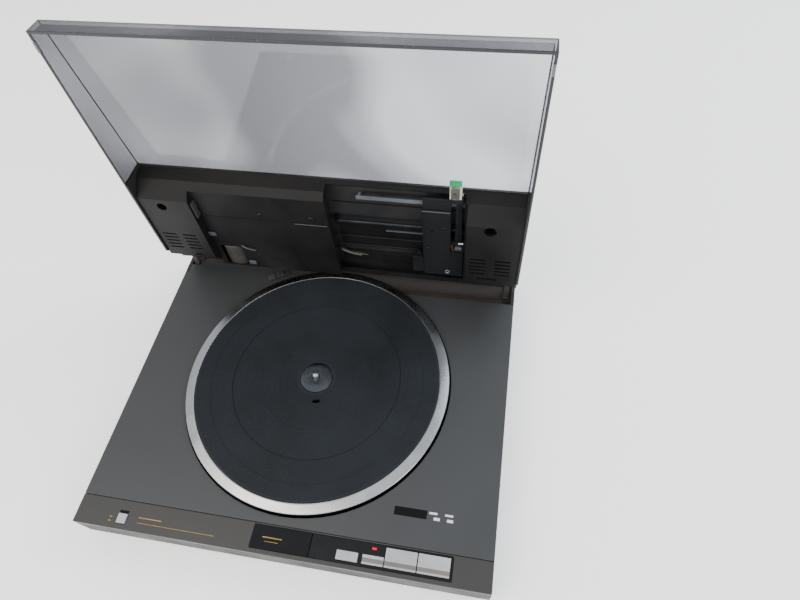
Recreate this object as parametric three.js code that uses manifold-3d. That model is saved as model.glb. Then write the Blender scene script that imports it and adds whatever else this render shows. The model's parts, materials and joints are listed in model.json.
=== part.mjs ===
// A full-size automatic turntable. Its tonearm runs straight across the record on a carriage inside the lid.
//
// Deck frame, in millimetres: x to the right of the centre line, y back from the front edge, z up from the
// deck's top face. The lid is modelled closed, and a group turns it about its hinge to where it stands open.
// The whole deck then sits in a group whose origin is on the floor, under the middle of the cabinet.
import * as THREE from "three";
import { mergeVertices } from "three/addons/utils/BufferGeometryUtils.js";
import Module from "manifold-3d";

const wasm = await Module();
wasm.setup();

// ---------------------------------------------------------------- driving dimensions

const GAP = 0.3; // between pieces that touch
const BEYOND = 5; // how far a cut runs past the face it opens

// Cabinet
const WIDTH = 430;
const HALF = WIDTH / 2;
const DEPTH = 375;
const HINGE_INSET = 31.5; // hinge line in front of the rear edge
const HINGE_Y = DEPTH - HINGE_INSET;
const DECK_HEIGHT = 49; // deck above the floor
const FOOT_HEIGHT = 9.7;
const FOOT_RADIUS = 18;
const FOOT_INSET_X = 50;
const FOOT_INSET_Y = 47;
const WALL = 3;
const PLATE = 2.5; // top plate and control strip
const COVER = 2.5; // bottom cover
const RAIL = 4; // side rail beside the rear trough
const TROUGH_FRONT = HINGE_Y - 21.5;
const SHELF_BACK = HINGE_Y - 2.5; // the top plate's rear edge on the left
const TROUGH_BACK = HINGE_Y + 17.5;
const TROUGH_FLOOR = -9;
const RIDGE_FRONT = TROUGH_BACK + 3;
const RIDGE_TOP = 12;
const RIDGE_END_INSET = 19;

// Control strip
const STRIP_DEPTH = 28.6;
const LIP_HEIGHT = 9;
const LIP = 1.6;
const KEY_TRAVEL = 1.2;
const KEY_PROUD = 1.1;
const KEY_CLEARANCE = 0.4;
const KEY_BOTTOM = -8.4;
const KEY_CORNER = 0.9;

// Platter and drive
const PLATTER_Y = 190.4;
const PLATTER_RADIUS = 151;
const PLATTER_TOP = 7.6;
const PLATTER_BEVEL_WIDTH = 9;
const PLATTER_BEVEL_DROP = 3.6;
const PLATTER_SKIRT = 5; // thickness of the skirt
const PLATTER_BOTTOM = -9;
const PLATTER_WEB = 3.2;
const RIM = 11; // bright rim outside the mat
const MAT_RADIUS = PLATTER_RADIUS - RIM;
const MAT_THICKNESS = 2.9;
const MAT_PROUD = 0.3;
const HUB_CAP_RADIUS = 18.4;
const HUB_CAP_TOP = 10.4;
const SPINDLE_RADIUS = 3.6;
const SPINDLE_TOP = 16.5;
const TUB_CLEARANCE = 2;
const TUB_FLOOR = -16;
const SENSOR_HOLE = { radius: 29.5, angle: -77, length: 9, width: 4 };
const STATOR_RADIUS = 36;
const STATOR_POLES = 9;
const MAGNET = 7; // radial thickness of the rotor's magnet ring
const AIR_GAP = 2;

// Lid
const HINGE_Z = 33.5;
const OPEN_ANGLE = 90;
const LID_FRONT = 30;
const LID_RIM = 1.2; // rim above the deck when closed
const LID_FRONT_TOP = 20;
const LID_TOP = 39;
const LID_CREST = HINGE_Y - 105.5; // where the sloping top turns flat
const LID_BACK = HINGE_Y + 26.5;
const COVER_BACK = HINGE_Y - 135.5; // the clear cover ends and the arm housing begins
const ACRYLIC = 2.6;
const SHELL = 3; // side walls of the arm housing
const SKIN = 2.1; // its top skin
const UNDERSIDE = 19.5; // underside of the arm chassis round its window, above the deck
const CHASSIS = 2;
const CHASSIS_BACK = HINGE_Y + 8.5;
const PIN_RADIUS = 1.5;
const EYE_RADIUS = PIN_RADIUS + 1.4;
const RUNNING = 0.3; // hinge pin and rod clearance
const POST_INNER = HALF - 13.5;
const POST_OUTER = POST_INNER + 6;
const POST_FRONT = HINGE_Y - 8.5;
const POST_BACK = HINGE_Y + 13.5;
const CHEEK = 2.5;

// Arm mechanism
const WINDOW = { left: 2, right: 151, front: HINGE_Y - 129.5, back: HINGE_Y + 1.5, lintel: 29 };
const PAN = {
  left: -HALF + 63,
  right: WINDOW.left - 2,
  front: HINGE_Y - 121.5,
  back: HINGE_Y + 5.5,
  floor: 13,
  lip: 12,
};
const PAN_FLOOR = 1.5;
const END = { face: 3.2, front: HINGE_Y - 114.5, back: HINGE_Y - 16.5, inner: WINDOW.right + 3 };
const ROD_Y = HINGE_Y - 75.5;
const ROD_Z = 30;
const ROD_RADIUS = 2;
const CARRIAGE = {
  left: WINDOW.right - 46,
  right: WINDOW.right - 15,
  front: WINDOW.front + 17,
  back: WINDOW.back - 5,
  bottom: 20,
};
const ARM_X = WINDOW.right - 6.6;
const ARM_WIDTH = 7.8;
const ARM_PIVOT_Y = HINGE_Y - 59.5;
const ARM_PIVOT_Z = 24;
const ARM_THICKNESS = 4;
const STYLUS_X = ARM_X - 3.2;
const CARTRIDGE_WIDTH = 11.8;
const CARTRIDGE_FRONT = PLATTER_Y - 9.4;
const CARTRIDGE_BACK = CARTRIDGE_FRONT + 24;
const CARTRIDGE_BOTTOM = 15.5;
const PULLEY_Y = HINGE_Y - 39.5;
const DRUM_X = PAN.left + 33.9;
const IDLER_X = WINDOW.right + 7;
const DRUM_RADIUS = 7;
const GEAR_RADIUS = 10;
const GEAR_TEETH = 20;
const WORM_RADIUS = 2.6;
const CORD = 1;
const MOTOR = { width: 30, bottom: PAN.floor - 0.4, front: PULLEY_Y + 10.6, back: PAN.back - 0.5 };

// ---------------------------------------------------------------- derived places

const CABINET_BOTTOM = FOOT_HEIGHT + GAP - DECK_HEIGHT;
const CABINET_TOP = -PLATE - GAP;
const COVER_TOP = CABINET_BOTTOM + COVER;
const TUB_RADIUS = PLATTER_RADIUS + TUB_CLEARANCE;
const TUB_UNDER = TUB_FLOOR - WALL;
const MAT_TOP = PLATTER_TOP + MAT_PROUD;
const MAT_BOTTOM = MAT_TOP - MAT_THICKNESS;
const WEB_TOP = MAT_BOTTOM - GAP;
const WEB_BOTTOM = WEB_TOP - PLATTER_WEB;
const RAIL_INNER = HALF - RAIL;
const HOUSING_INNER = HALF - SHELL;
const CHASSIS_HALF = HOUSING_INNER - GAP;
const NOTCH_INNER = POST_INNER - CHEEK + GAP;
const NOTCH_FRONT = POST_FRONT - 5;
const SKIN_UNDER = LID_TOP - SKIN;
const HOLE_RADIUS = PIN_RADIUS + RUNNING;
const ARM_BASE_TOP = 30;
const GEAR_THICKNESS = 3;
const GEAR_MIDDLE = SKIN_UNDER - 7.5;
const GEAR_BOTTOM = GEAR_MIDDLE - GEAR_THICKNESS / 2;
const DRUM_BOTTOM = GEAR_BOTTOM + GEAR_THICKNESS;
const DRUM_THICKNESS = 3;
const CORD_BOTTOM = DRUM_BOTTOM + 1;
const WORM_X = DRUM_X - GEAR_RADIUS - WORM_RADIUS - GAP;

// ---------------------------------------------------------------- solids

// A closed three.js geometry as a solid that can be cut and joined.
function solid(geometry) {
  const bare = geometry.index ? geometry.toNonIndexed() : geometry.clone();
  bare.deleteAttribute("normal");
  bare.deleteAttribute("uv");
  const merged = mergeVertices(bare, 1e-4);
  const corners = merged.index.array;
  const kept = [];
  for (let i = 0; i < corners.length; i += 3) {
    const [a, b, c] = [corners[i], corners[i + 1], corners[i + 2]];
    if (a !== b && b !== c && c !== a) kept.push(a, b, c);
  }
  return new wasm.Manifold(
    new wasm.Mesh({
      numProp: 3,
      vertProperties: merged.attributes.position.array,
      triVerts: new Uint32Array(kept),
    }),
  );
}

function block(x0, x1, y0, y1, z0, z1) {
  const box = new THREE.BoxGeometry(x1 - x0, y1 - y0, z1 - z0);
  box.translate((x0 + x1) / 2, (y0 + y1) / 2, (z0 + z1) / 2);
  return solid(box);
}

const AXES = {
  x: [new THREE.Vector3(0, 1, 0), new THREE.Vector3(0, 0, 1), new THREE.Vector3(1, 0, 0)],
  y: [new THREE.Vector3(0, 0, 1), new THREE.Vector3(1, 0, 0), new THREE.Vector3(0, 1, 0)],
  z: [new THREE.Vector3(1, 0, 0), new THREE.Vector3(0, 1, 0), new THREE.Vector3(0, 0, 1)],
};

// A flat outline pushed along an axis. Its two coordinates are (y, z), (z, x) or (x, y).
function extrude(outline, axis, from, to) {
  const shape = outline instanceof THREE.Shape
    ? outline
    : new THREE.Shape(outline.map(([u, v]) => new THREE.Vector2(u, v)));
  const made = new THREE.ExtrudeGeometry(shape, {
    depth: to - from,
    bevelEnabled: false,
    curveSegments: 6,
  });
  made.translate(0, 0, from);
  made.applyMatrix4(new THREE.Matrix4().makeBasis(...AXES[axis]));
  return solid(made);
}

// A profile of (radius, height) points turned about an axis that runs through a point.
function turned(profile, axis, at, segments = 48) {
  const made = new THREE.LatheGeometry(
    profile.map(([r, h]) => new THREE.Vector2(r, h)),
    segments,
  );
  made.rotateX(Math.PI / 2);
  made.applyMatrix4(new THREE.Matrix4().makeBasis(...AXES[axis]));
  made.translate(...at);
  return solid(made);
}

// A round bar along an axis from one height to another, its centre line through a point.
function bar(radius, axis, from, to, at, segments = 24) {
  return turned([[0, from], [radius, from], [radius, to], [0, to]], axis, at, segments);
}

// A ring about the z axis through (x, y).
function ring(inner, outer, z0, z1, x, y, segments = 48) {
  const profile = [[inner, z0], [outer, z0], [outer, z1], [inner, z1], [inner, z0]];
  return turned(profile, "z", [x, y, 0], segments);
}

function roundedRectangle(x0, x1, y0, y1, radius) {
  const shape = new THREE.Shape();
  shape.moveTo(x0 + radius, y0);
  shape.absarc(x1 - radius, y0 + radius, radius, -Math.PI / 2, 0);
  shape.absarc(x1 - radius, y1 - radius, radius, 0, Math.PI / 2);
  shape.absarc(x0 + radius, y1 - radius, radius, Math.PI / 2, Math.PI);
  shape.absarc(x0 + radius, y0 + radius, radius, Math.PI, 1.5 * Math.PI);
  return shape;
}

const joined = (first, ...rest) => rest.reduce((all, one) => all.add(one), first);
const cut = (first, ...rest) => rest.reduce((left, one) => left.subtract(one), first);

// The same piece on the other side of the centre line.
const mirrored = (piece) => piece.mirror([1, 0, 0]);
const both = (piece) => piece.add(mirrored(piece));

function finish(color, roughness, metalness = 0) {
  return new THREE.MeshStandardMaterial({ color, roughness, metalness });
}

const FINISH = {
  grey: finish(0x55585a, 0.45, 0.4),
  strip: finish(0x46474a, 0.5, 0.3),
  black: finish(0x26272a, 0.6),
  gloss: finish(0x0a0a0c, 0.12),
  silver: finish(0xc5c9cc, 0.35, 0.5),
  aluminium: finish(0xd0d3d6, 0.25, 0.95),
  steel: finish(0x9ba0a5, 0.35, 0.9),
  rubber: finish(0x2d3339, 0.85),
  magnet: finish(0x3b3a3c, 0.7, 0.2),
  copper: finish(0xb06a3c, 0.4, 0.8),
  board: finish(0x2f5b3a, 0.6),
  acrylic: new THREE.MeshStandardMaterial({
    color: 0x6b6a6c,
    roughness: 0.1,
    transparent: true,
    opacity: 0.4,
  }),
  cream: finish(0xe6dcc4, 0.45),
  green: finish(0x13a06a, 0.5),
  amber: finish(0xa8845c, 0.3),
  red: finish(0xc8202c, 0.3),
  slate: finish(0x7d858f, 0.45, 0.4),
  cord: finish(0x8a7350, 0.8),
};

function mesh(name, piece, material) {
  const { vertProperties, triVerts, numProp, numVert } = piece.getMesh();
  const points = new Float32Array(numVert * 3);
  for (let i = 0; i < numVert; i++) {
    points.set(vertProperties.subarray(i * numProp, i * numProp + 3), i * 3);
  }
  const geometry = new THREE.BufferGeometry();
  geometry.setAttribute("position", new THREE.BufferAttribute(points, 3));
  geometry.setIndex(new THREE.BufferAttribute(triVerts, 1));
  geometry.computeVertexNormals();
  const made = new THREE.Mesh(geometry, material);
  made.name = name;
  return made;
}

// ---------------------------------------------------------------- controls, shared by the strip and the keys

// An area that starts a distance right of x and is so many millimetres wide.
const from = (x, distance, width, y0, y1) => ({ x0: x + distance, x1: x + distance + width, y0, y1 });

const BEZEL = from(HALF, -178.7, 140.3, 4.8, 26.8);
const WINDOW_INSERT = from(BEZEL.x0, -60 - GAP, 60, BEZEL.y0, BEZEL.y1);
const LED = from(BEZEL.x0, 61, 4.6, 21.3, 23.5);
const KEYS = {
  power_button: from(-HALF, 46.6, 9.8, 5.6, 15.2),
  repeat_button: from(BEZEL.x0, 27.3, 21.4, 7.2, 16),
  start_button: from(BEZEL.x0, 75.1, 30.8, 7.2, 25),
  stop_button: from(BEZEL.x0, 106.9, 31, 7.2, 25),
};
const ROCKER = from(BEZEL.x0, 53.1, 21, 7.2, 15.8);
const BEZEL_SINK = 1; // bezel below the strip's face
const BEZEL_LEDGE = 1;
const BOARD = 1.6; // every circuit board's thickness
const KEY_SWITCH_TOP = KEY_BOTTOM - KEY_TRAVEL - GAP;
const KEY_BOARD_TOP = KEY_SWITCH_TOP - 2.4;

function widened(area, by) {
  return { x0: area.x0 - by, x1: area.x1 + by, y0: area.y0 - by, y1: area.y1 + by };
}

function slab({ x0, x1, y0, y1 }, z0, z1) {
  return block(x0, x1, y0, y1, z0, z1);
}

// ---------------------------------------------------------------- base

const platterAt = (z) => [0, PLATTER_Y, z];
const GLANDS = { signal_cord_gland: -150, mains_cord_gland: 150 };
const GLAND_Z = -24;
const GLAND_RADIUS = 5;
const GLAND_FLANGE = 7.5;
const GLAND_BORE = 2.6;
const GLAND_RECESS = 2;

function troughCut() {
  const top = CABINET_TOP + BEYOND;
  return joined(
    block(-RAIL_INNER, RAIL_INNER, SHELF_BACK, TROUGH_BACK, TROUGH_FLOOR, top),
    block(0, RAIL_INNER, TROUGH_FRONT, TROUGH_BACK, TROUGH_FLOOR, top),
    block(-RAIL_INNER, -NOTCH_INNER, POST_FRONT - GAP, TROUGH_BACK, TROUGH_FLOOR, top),
  );
}

function cabinet() {
  const shell = cut(
    block(-HALF, HALF, 0, DEPTH, CABINET_BOTTOM, CABINET_TOP),
    block(-HALF + WALL, HALF - WALL, WALL, DEPTH - WALL, CABINET_BOTTOM - BEYOND, CABINET_TOP - WALL),
  );
  const raised = joined(
    shell,
    bar(TUB_RADIUS + WALL, "z", TUB_UNDER, CABINET_TOP, platterAt(0), 72),
    block(-HALF + WALL, HALF - WALL, TROUGH_FRONT - WALL, DEPTH - WALL, TROUGH_FLOOR - WALL, CABINET_TOP),
    block(-HALF + RIDGE_END_INSET, HALF - RIDGE_END_INSET, RIDGE_FRONT, DEPTH, CABINET_TOP - WALL, RIDGE_TOP),
    both(block(RAIL_INNER, HALF, TROUGH_FRONT + GAP, DEPTH, CABINET_TOP - WALL, 0)),
    both(block(HALF - RIDGE_END_INSET, HALF, TROUGH_BACK, DEPTH, CABINET_TOP - WALL, 0)),
  );
  return cut(
    raised,
    bar(TUB_RADIUS, "z", TUB_FLOOR, BEYOND, platterAt(0), 72),
    bar(BEARING.radius + GAP, "z", TUB_UNDER - BEYOND, BEYOND, platterAt(0)),
    troughCut(),
    block(-HALF - BEYOND, HALF + BEYOND, -BEYOND, LIP + GAP, -LIP_HEIGHT - GAP, BEYOND),
    slab(widened(KEYS.power_button, 2), CABINET_TOP - WALL - BEYOND, BEYOND),
    slab(widened(BEZEL, -BEZEL_LEDGE), CABINET_TOP - WALL - BEYOND, BEYOND),
    ...Object.values(GLANDS).flatMap((x) => [
      bar(GLAND_RADIUS + GAP, "y", DEPTH - WALL - BEYOND, DEPTH + BEYOND, [x, 0, GLAND_Z]),
      bar(GLAND_FLANGE + GAP, "y", DEPTH - GLAND_RECESS, DEPTH + BEYOND, [x, 0, GLAND_Z]),
    ]),
  );
}

function bottomCover() {
  const inset = WALL + GAP;
  const plate = block(
    -HALF + inset, HALF - inset, inset, DEPTH - inset, CABINET_BOTTOM, COVER_TOP,
  );
  const slots = [];
  const slotLength = 60;
  const slotWidth = 3;
  const pitch = 9;
  for (let i = 0; i < 5; i++) {
    const y = PLATTER_Y - 2 * pitch + i * pitch;
    for (const x of [-110, 110]) {
      slots.push(
        block(
          x - slotLength / 2, x + slotLength / 2, y - slotWidth / 2, y + slotWidth / 2,
          CABINET_BOTTOM - BEYOND, COVER_TOP + BEYOND,
        ),
      );
    }
  }
  return cut(plate, ...slots);
}

function topPlate() {
  const left = -HALF;
  const outline = [
    [left, STRIP_DEPTH + GAP],
    [HALF, STRIP_DEPTH + GAP],
    [HALF, TROUGH_FRONT],
    [0, TROUGH_FRONT],
    [0, SHELF_BACK],
    [-NOTCH_INNER, SHELF_BACK],
    [-NOTCH_INNER, POST_FRONT - GAP],
    [left + RAIL + GAP, POST_FRONT - GAP],
    [left + RAIL + GAP, TROUGH_FRONT],
    [left, TROUGH_FRONT],
  ];
  return cut(
    extrude(outline, "z", -PLATE, 0),
    bar(TUB_RADIUS, "z", -PLATE - BEYOND, BEYOND, platterAt(0), 72),
  );
}

function controlStrip() {
  return cut(
    joined(
      block(-HALF, HALF, 0, STRIP_DEPTH, -PLATE, 0),
      block(-HALF, HALF, 0, LIP, -LIP_HEIGHT, -PLATE + 1),
    ),
    slab(widened(KEYS.power_button, KEY_CLEARANCE), -PLATE - BEYOND, BEYOND),
    block(WINDOW_INSERT.x0 - GAP, BEZEL.x1 + GAP, BEZEL.y0 - GAP, BEZEL.y1 + GAP, -PLATE - BEYOND, BEYOND),
  );
}

const windowInsert = () => slab(WINDOW_INSERT, -PLATE, GAP);

function keyBezel() {
  const holes = ["repeat_button", "start_button", "stop_button"].map((name) => KEYS[name]);
  return cut(
    slab(BEZEL, -PLATE, -BEZEL_SINK),
    ...holes.map((key) => slab(widened(key, KEY_CLEARANCE), -PLATE - BEYOND, BEYOND)),
    slab(widened(ROCKER, 0.6), -PLATE - BEYOND, BEYOND),
    slab(widened(LED, GAP), -PLATE - BEYOND, BEYOND),
  );
}

// A key: a cap with rounded corners on a narrower stem that reaches its switch.
function key({ x0, x1, y0, y1 }) {
  const [x, y] = [(x0 + x1) / 2, (y0 + y1) / 2];
  return joined(
    extrude(roundedRectangle(x0, x1, y0, y1, KEY_CORNER), "z", CABINET_TOP, KEY_PROUD),
    block(x - 3, x + 3, y - 2.5, y + 2.5, KEY_BOTTOM, CABINET_TOP + GAP),
  );
}

const ROCKER_PIVOT_Z = -1.5;

function cueRocker() {
  const { x0, x1, y0, y1 } = ROCKER;
  const [x, y] = [(x0 + x1) / 2, (y0 + y1) / 2];
  const feet = [-6, 6].map((dx) =>
    block(x + dx - 1.5, x + dx + 1.5, y - 1.5, y + 1.5, KEY_BOTTOM, CABINET_TOP + GAP),
  );
  return joined(
    extrude(roundedRectangle(x0, x1, y0, y1, KEY_CORNER), "z", CABINET_TOP, KEY_PROUD),
    ...feet,
  );
}

const repeatLed = () => slab(LED, -PLATE, -BEZEL_SINK + 0.5);

// A circuit board on posts, with the parts that stand on it.
function circuitBoard({ x0, x1, y0, y1 }, top, floor, parts) {
  const inset = 4;
  const corners = [x0 + inset, x1 - inset].flatMap((x) => [[x, y0 + inset], [x, y1 - inset]]);
  return joined(
    block(x0, x1, y0, y1, top - BOARD, top),
    ...corners.map(([x, y]) => bar(2.5, "z", floor, top - BOARD / 2, [x, y, 0], 12)),
    ...parts,
  );
}

function keyBoard() {
  const pressed = ["repeat_button", "start_button", "stop_button"].map((name) => [
    (KEYS[name].x0 + KEYS[name].x1) / 2,
    (KEYS[name].y0 + KEYS[name].y1) / 2,
  ]);
  const rockerX = (ROCKER.x0 + ROCKER.x1) / 2;
  const rockerY = (ROCKER.y0 + ROCKER.y1) / 2;
  const switches = [...pressed, [rockerX - 6, rockerY], [rockerX + 6, rockerY]].map(([x, y]) =>
    block(x - 3, x + 3, y - 3, y + 3, KEY_BOARD_TOP - 0.5, KEY_SWITCH_TOP - 0.5),
  );
  const area = { x0: BEZEL.x0 + 5.7, x1: BEZEL.x1 - 4.6, y0: WALL + 1, y1: BEZEL.y1 + 0.2 };
  return circuitBoard(area, KEY_BOARD_TOP, COVER_TOP + GAP, switches);
}

function powerSwitch() {
  const { x0, x1, y0, y1 } = KEYS.power_button;
  const [x, y] = [(x0 + x1) / 2, (y0 + y1) / 2];
  return joined(
    block(x - 8, x + 8, y - 6, y + 8, -31, KEY_SWITCH_TOP - 0.5),
    block(x - 12, x + 12, y + 1, y + 7, COVER_TOP + GAP, -30),
  );
}

const BEARING = {
  radius: 8,
  bore: SPINDLE_RADIUS + RUNNING,
  top: -11,
  bottom: -34,
  flange: 18,
  flangeThickness: 2.5,
};

function platterBearing() {
  const { radius, bore, top, bottom, flange, flangeThickness } = BEARING;
  const flangeTop = TUB_UNDER - GAP;
  return turned(
    [
      [0, bottom], [radius, bottom], [radius, flangeTop - flangeThickness],
      [flange, flangeTop - flangeThickness], [flange, flangeTop], [radius, flangeTop],
      [radius, top], [bore, top], [bore, bottom + 2], [0, bottom + 2],
    ],
    "z", platterAt(0), 20,
  );
}

// Nine wound poles round a core, on the floor of the platter's tub.
function motorStator() {
  const bottom = TUB_FLOOR + GAP;
  const core = BEARING.radius + 6;
  const parts = [ring(BEARING.radius + 2, core + 4, bottom, bottom + 7, 0, 0, 24)];
  for (let i = 0; i < STATOR_POLES; i++) {
    const angle = (i * 360) / STATOR_POLES;
    parts.push(
      block(core, STATOR_RADIUS, -2.5, 2.5, bottom + 1.5, bottom + 5).rotate([0, 0, angle]),
      block(core + 6, STATOR_RADIUS - 4, -4, 4, bottom, bottom + 6.5).rotate([0, 0, angle]),
    );
  }
  return joined(...parts).translate(platterAt(0));
}

function motorBoard() {
  const flangeBottom = TUB_UNDER - GAP - BEARING.flangeThickness;
  const top = flangeBottom - GAP;
  const posts = [60, 180, 300].map((angle) => {
    const turn = (angle * Math.PI) / 180;
    const at = [45 * Math.cos(turn), PLATTER_Y + 45 * Math.sin(turn), 0];
    return bar(2.5, "z", top - BOARD / 2, TUB_UNDER - GAP, at, 12);
  });
  return joined(ring(BEARING.radius + 2, 52, top - BOARD, top, 0, PLATTER_Y, 32), ...posts);
}

function powerTransformer() {
  const [x0, x1, y0, y1] = [-HALF + 17, -HALF + 65, DEPTH - 93, DEPTH - 59];
  const bottom = COVER_TOP + GAP;
  return joined(
    block(x0, x1, y0, y1, bottom + 2, bottom + 22),
    block(x0 + 8, x1 - 8, y0 - 7, y1 + 7, bottom + 5, bottom + 19),
    block(x0 - 6, x1 + 6, y0 + 8, y1 - 8, bottom, bottom + 2.5),
  );
}

function controlBoard() {
  const top = -31;
  const area = { x0: -135, x1: -25, y0: 40, y1: 118 };
  const parts = [
    [-120, 60, 6, 9], [-120, 78, 6, 9], [-100, 104, 4.5, 8], [-46, 58, 4, 7],
  ].map(([x, y, radius, height]) => bar(radius, "z", top - 0.5, top + height, [x, y, 0], 16));
  parts.push(block(-96, -62, 62, 74, top - 0.5, top + 4));
  parts.push(block(-90, -70, 84, 108, top - 0.5, top + 4));
  return circuitBoard(area, top, COVER_TOP + GAP, parts);
}

function foot(x, y) {
  const bottom = -DECK_HEIGHT;
  const top = bottom + FOOT_HEIGHT;
  return turned(
    [
      [0, bottom], [FOOT_RADIUS - 3, bottom], [FOOT_RADIUS - 2, bottom + 1.5], [FOOT_RADIUS - 2, bottom + 3],
      [FOOT_RADIUS, bottom + 4], [FOOT_RADIUS, top], [0, top],
    ],
    "z", [x, y, 0], 24,
  );
}

function cordGland(x) {
  return turned(
    [
      [GLAND_BORE, DEPTH - WALL - 4], [GLAND_RADIUS, DEPTH - WALL - 4],
      [GLAND_RADIUS, DEPTH - GLAND_RECESS + GAP], [GLAND_FLANGE, DEPTH - GLAND_RECESS + GAP],
      [GLAND_FLANGE, DEPTH], [GLAND_BORE, DEPTH], [GLAND_BORE, DEPTH - WALL - 4],
    ],
    "y", [x, 0, GLAND_Z], 16,
  );
}

// A die-cast post that stands in the trough and carries the lid's hinge pin in its eye.
function hingePost() {
  const foot = TROUGH_FLOOR + GAP;
  const web = extrude(
    [
      [POST_FRONT, foot], [POST_BACK, foot], [POST_BACK, foot + 2.5], [POST_BACK - 7, foot + 3],
      [HINGE_Y + EYE_RADIUS, 4], [HINGE_Y + EYE_RADIUS, HINGE_Z], [HINGE_Y - EYE_RADIUS, HINGE_Z],
      [POST_FRONT + 1, foot + 3], [POST_FRONT, foot + 2.5],
    ],
    "x", POST_INNER, POST_OUTER,
  );
  return cut(
    joined(web, bar(EYE_RADIUS, "x", POST_INNER, POST_OUTER, [0, HINGE_Y, HINGE_Z])),
    bar(HOLE_RADIUS, "x", POST_INNER - BEYOND, POST_OUTER + BEYOND, [0, HINGE_Y, HINGE_Z]),
  );
}

// The clamp on the deck that holds the leads to the lid.
function leadClamp() {
  const made = joined(
    block(-14, 14, -4, 4, GAP, 3),
    block(-2, 7, -3, 3, 2, 5.2),
    block(-13, -5, -3, 3, 2, 4.4),
  );
  return made.rotate([0, 0, 32]).translate([-87, SHELF_BACK - 11.5, 0]);
}

// ---------------------------------------------------------------- platter

function sensorHole() {
  const { radius, angle, length, width } = SENSOR_HOLE;
  const turn = (angle * Math.PI) / 180;
  const shape = roundedRectangle(-length / 2, length / 2, -width / 2, width / 2, width / 2 - 0.01);
  return extrude(shape, "z", PLATTER_BOTTOM - BEYOND, MAT_TOP + BEYOND)
    .rotate([0, 0, angle + 90])
    .translate([radius * Math.cos(turn), PLATTER_Y + radius * Math.sin(turn), 0]);
}

function platter() {
  const bore = SPINDLE_RADIUS + GAP;
  const hub = 12;
  const dish = MAT_RADIUS + GAP;
  const bevel = PLATTER_RADIUS - PLATTER_BEVEL_WIDTH;
  const skirt = PLATTER_RADIUS - PLATTER_SKIRT;
  return cut(
    turned(
      [
        [bore, WEB_BOTTOM - 7], [hub, WEB_BOTTOM - 7], [hub, WEB_BOTTOM], [skirt - 2, WEB_BOTTOM],
        [skirt, WEB_BOTTOM - 2], [skirt, PLATTER_BOTTOM], [PLATTER_RADIUS, PLATTER_BOTTOM],
        [PLATTER_RADIUS, PLATTER_TOP - PLATTER_BEVEL_DROP], [bevel, PLATTER_TOP],
        [dish, PLATTER_TOP], [dish, WEB_TOP], [bore, WEB_TOP], [bore, WEB_BOTTOM - 7],
      ],
      "z", platterAt(0), 60,
    ),
    sensorHole(),
  );
}

function platterMat() {
  return cut(
    ring(HUB_CAP_RADIUS + GAP, MAT_RADIUS, MAT_BOTTOM, MAT_TOP, 0, PLATTER_Y, 60),
    sensorHole(),
  );
}

function hubCap() {
  const bore = SPINDLE_RADIUS + GAP;
  return turned(
    [
      [bore, MAT_BOTTOM], [HUB_CAP_RADIUS, MAT_BOTTOM], [HUB_CAP_RADIUS, MAT_TOP - 0.6],
      [HUB_CAP_RADIUS - 1, MAT_TOP], [bore + 2.5, HUB_CAP_TOP], [bore, HUB_CAP_TOP], [bore, MAT_BOTTOM],
    ],
    "z", platterAt(0), 32,
  );
}

function spindle() {
  return turned(
    [
      [0, BEARING.bottom + 2 + GAP], [SPINDLE_RADIUS, BEARING.bottom + 2 + GAP],
      [SPINDLE_RADIUS, SPINDLE_TOP - 3], [SPINDLE_RADIUS - 1, SPINDLE_TOP - 1], [0, SPINDLE_TOP],
    ],
    "z", platterAt(0), 24,
  );
}

const rotorMagnet = () => ring(
  STATOR_RADIUS + AIR_GAP, STATOR_RADIUS + AIR_GAP + MAGNET, TUB_FLOOR + AIR_GAP, WEB_BOTTOM - GAP,
  0, PLATTER_Y, 32,
);

// ---------------------------------------------------------------- lid

const slopeAt = (y) =>
  LID_FRONT_TOP + ((LID_TOP - LID_FRONT_TOP) * (y - LID_FRONT)) / (LID_CREST - LID_FRONT);

const BUMPER = { front: 40, length: 10, bottom: 0.4, height: 1.5 };

function lidBumper(side) {
  const outer = HALF - GAP;
  const inner = HALF - ACRYLIC + GAP;
  const [x0, x1] = side > 0 ? [inner, outer] : [-outer, -inner];
  const { front, length, bottom, height } = BUMPER;
  return block(x0, x1, front, front + length, bottom, bottom + height);
}

function lidCover() {
  const outer = extrude(
    [
      [LID_FRONT, LID_RIM], [COVER_BACK, LID_RIM], [COVER_BACK, slopeAt(COVER_BACK)],
      [LID_FRONT + 1, slopeAt(LID_FRONT + 1)],
    ],
    "x", -HALF, HALF,
  );
  const front = LID_FRONT + ACRYLIC;
  const inner = extrude(
    [
      [front, LID_RIM - BEYOND], [COVER_BACK + BEYOND, LID_RIM - BEYOND],
      [COVER_BACK + BEYOND, slopeAt(COVER_BACK + BEYOND) - ACRYLIC],
      [front + 1, slopeAt(front + 1) - ACRYLIC],
    ],
    "x", -HALF + ACRYLIC, HALF - ACRYLIC,
  );
  const bumperNotch = both(
    block(
      HALF - ACRYLIC - BEYOND, HALF + BEYOND, BUMPER.front - GAP, BUMPER.front + BUMPER.length + GAP,
      LID_RIM - BEYOND, BUMPER.bottom + BUMPER.height + GAP,
    ),
  );
  return cut(outer, inner, bumperNotch);
}

// The room that each hinge post needs as the lid turns about it.
function postNotch(top) {
  const inner = POST_INNER - GAP * 2;
  return both(block(inner, HOUSING_INNER, NOTCH_FRONT, LID_BACK + BEYOND, LID_RIM - BEYOND, top));
}

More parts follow.
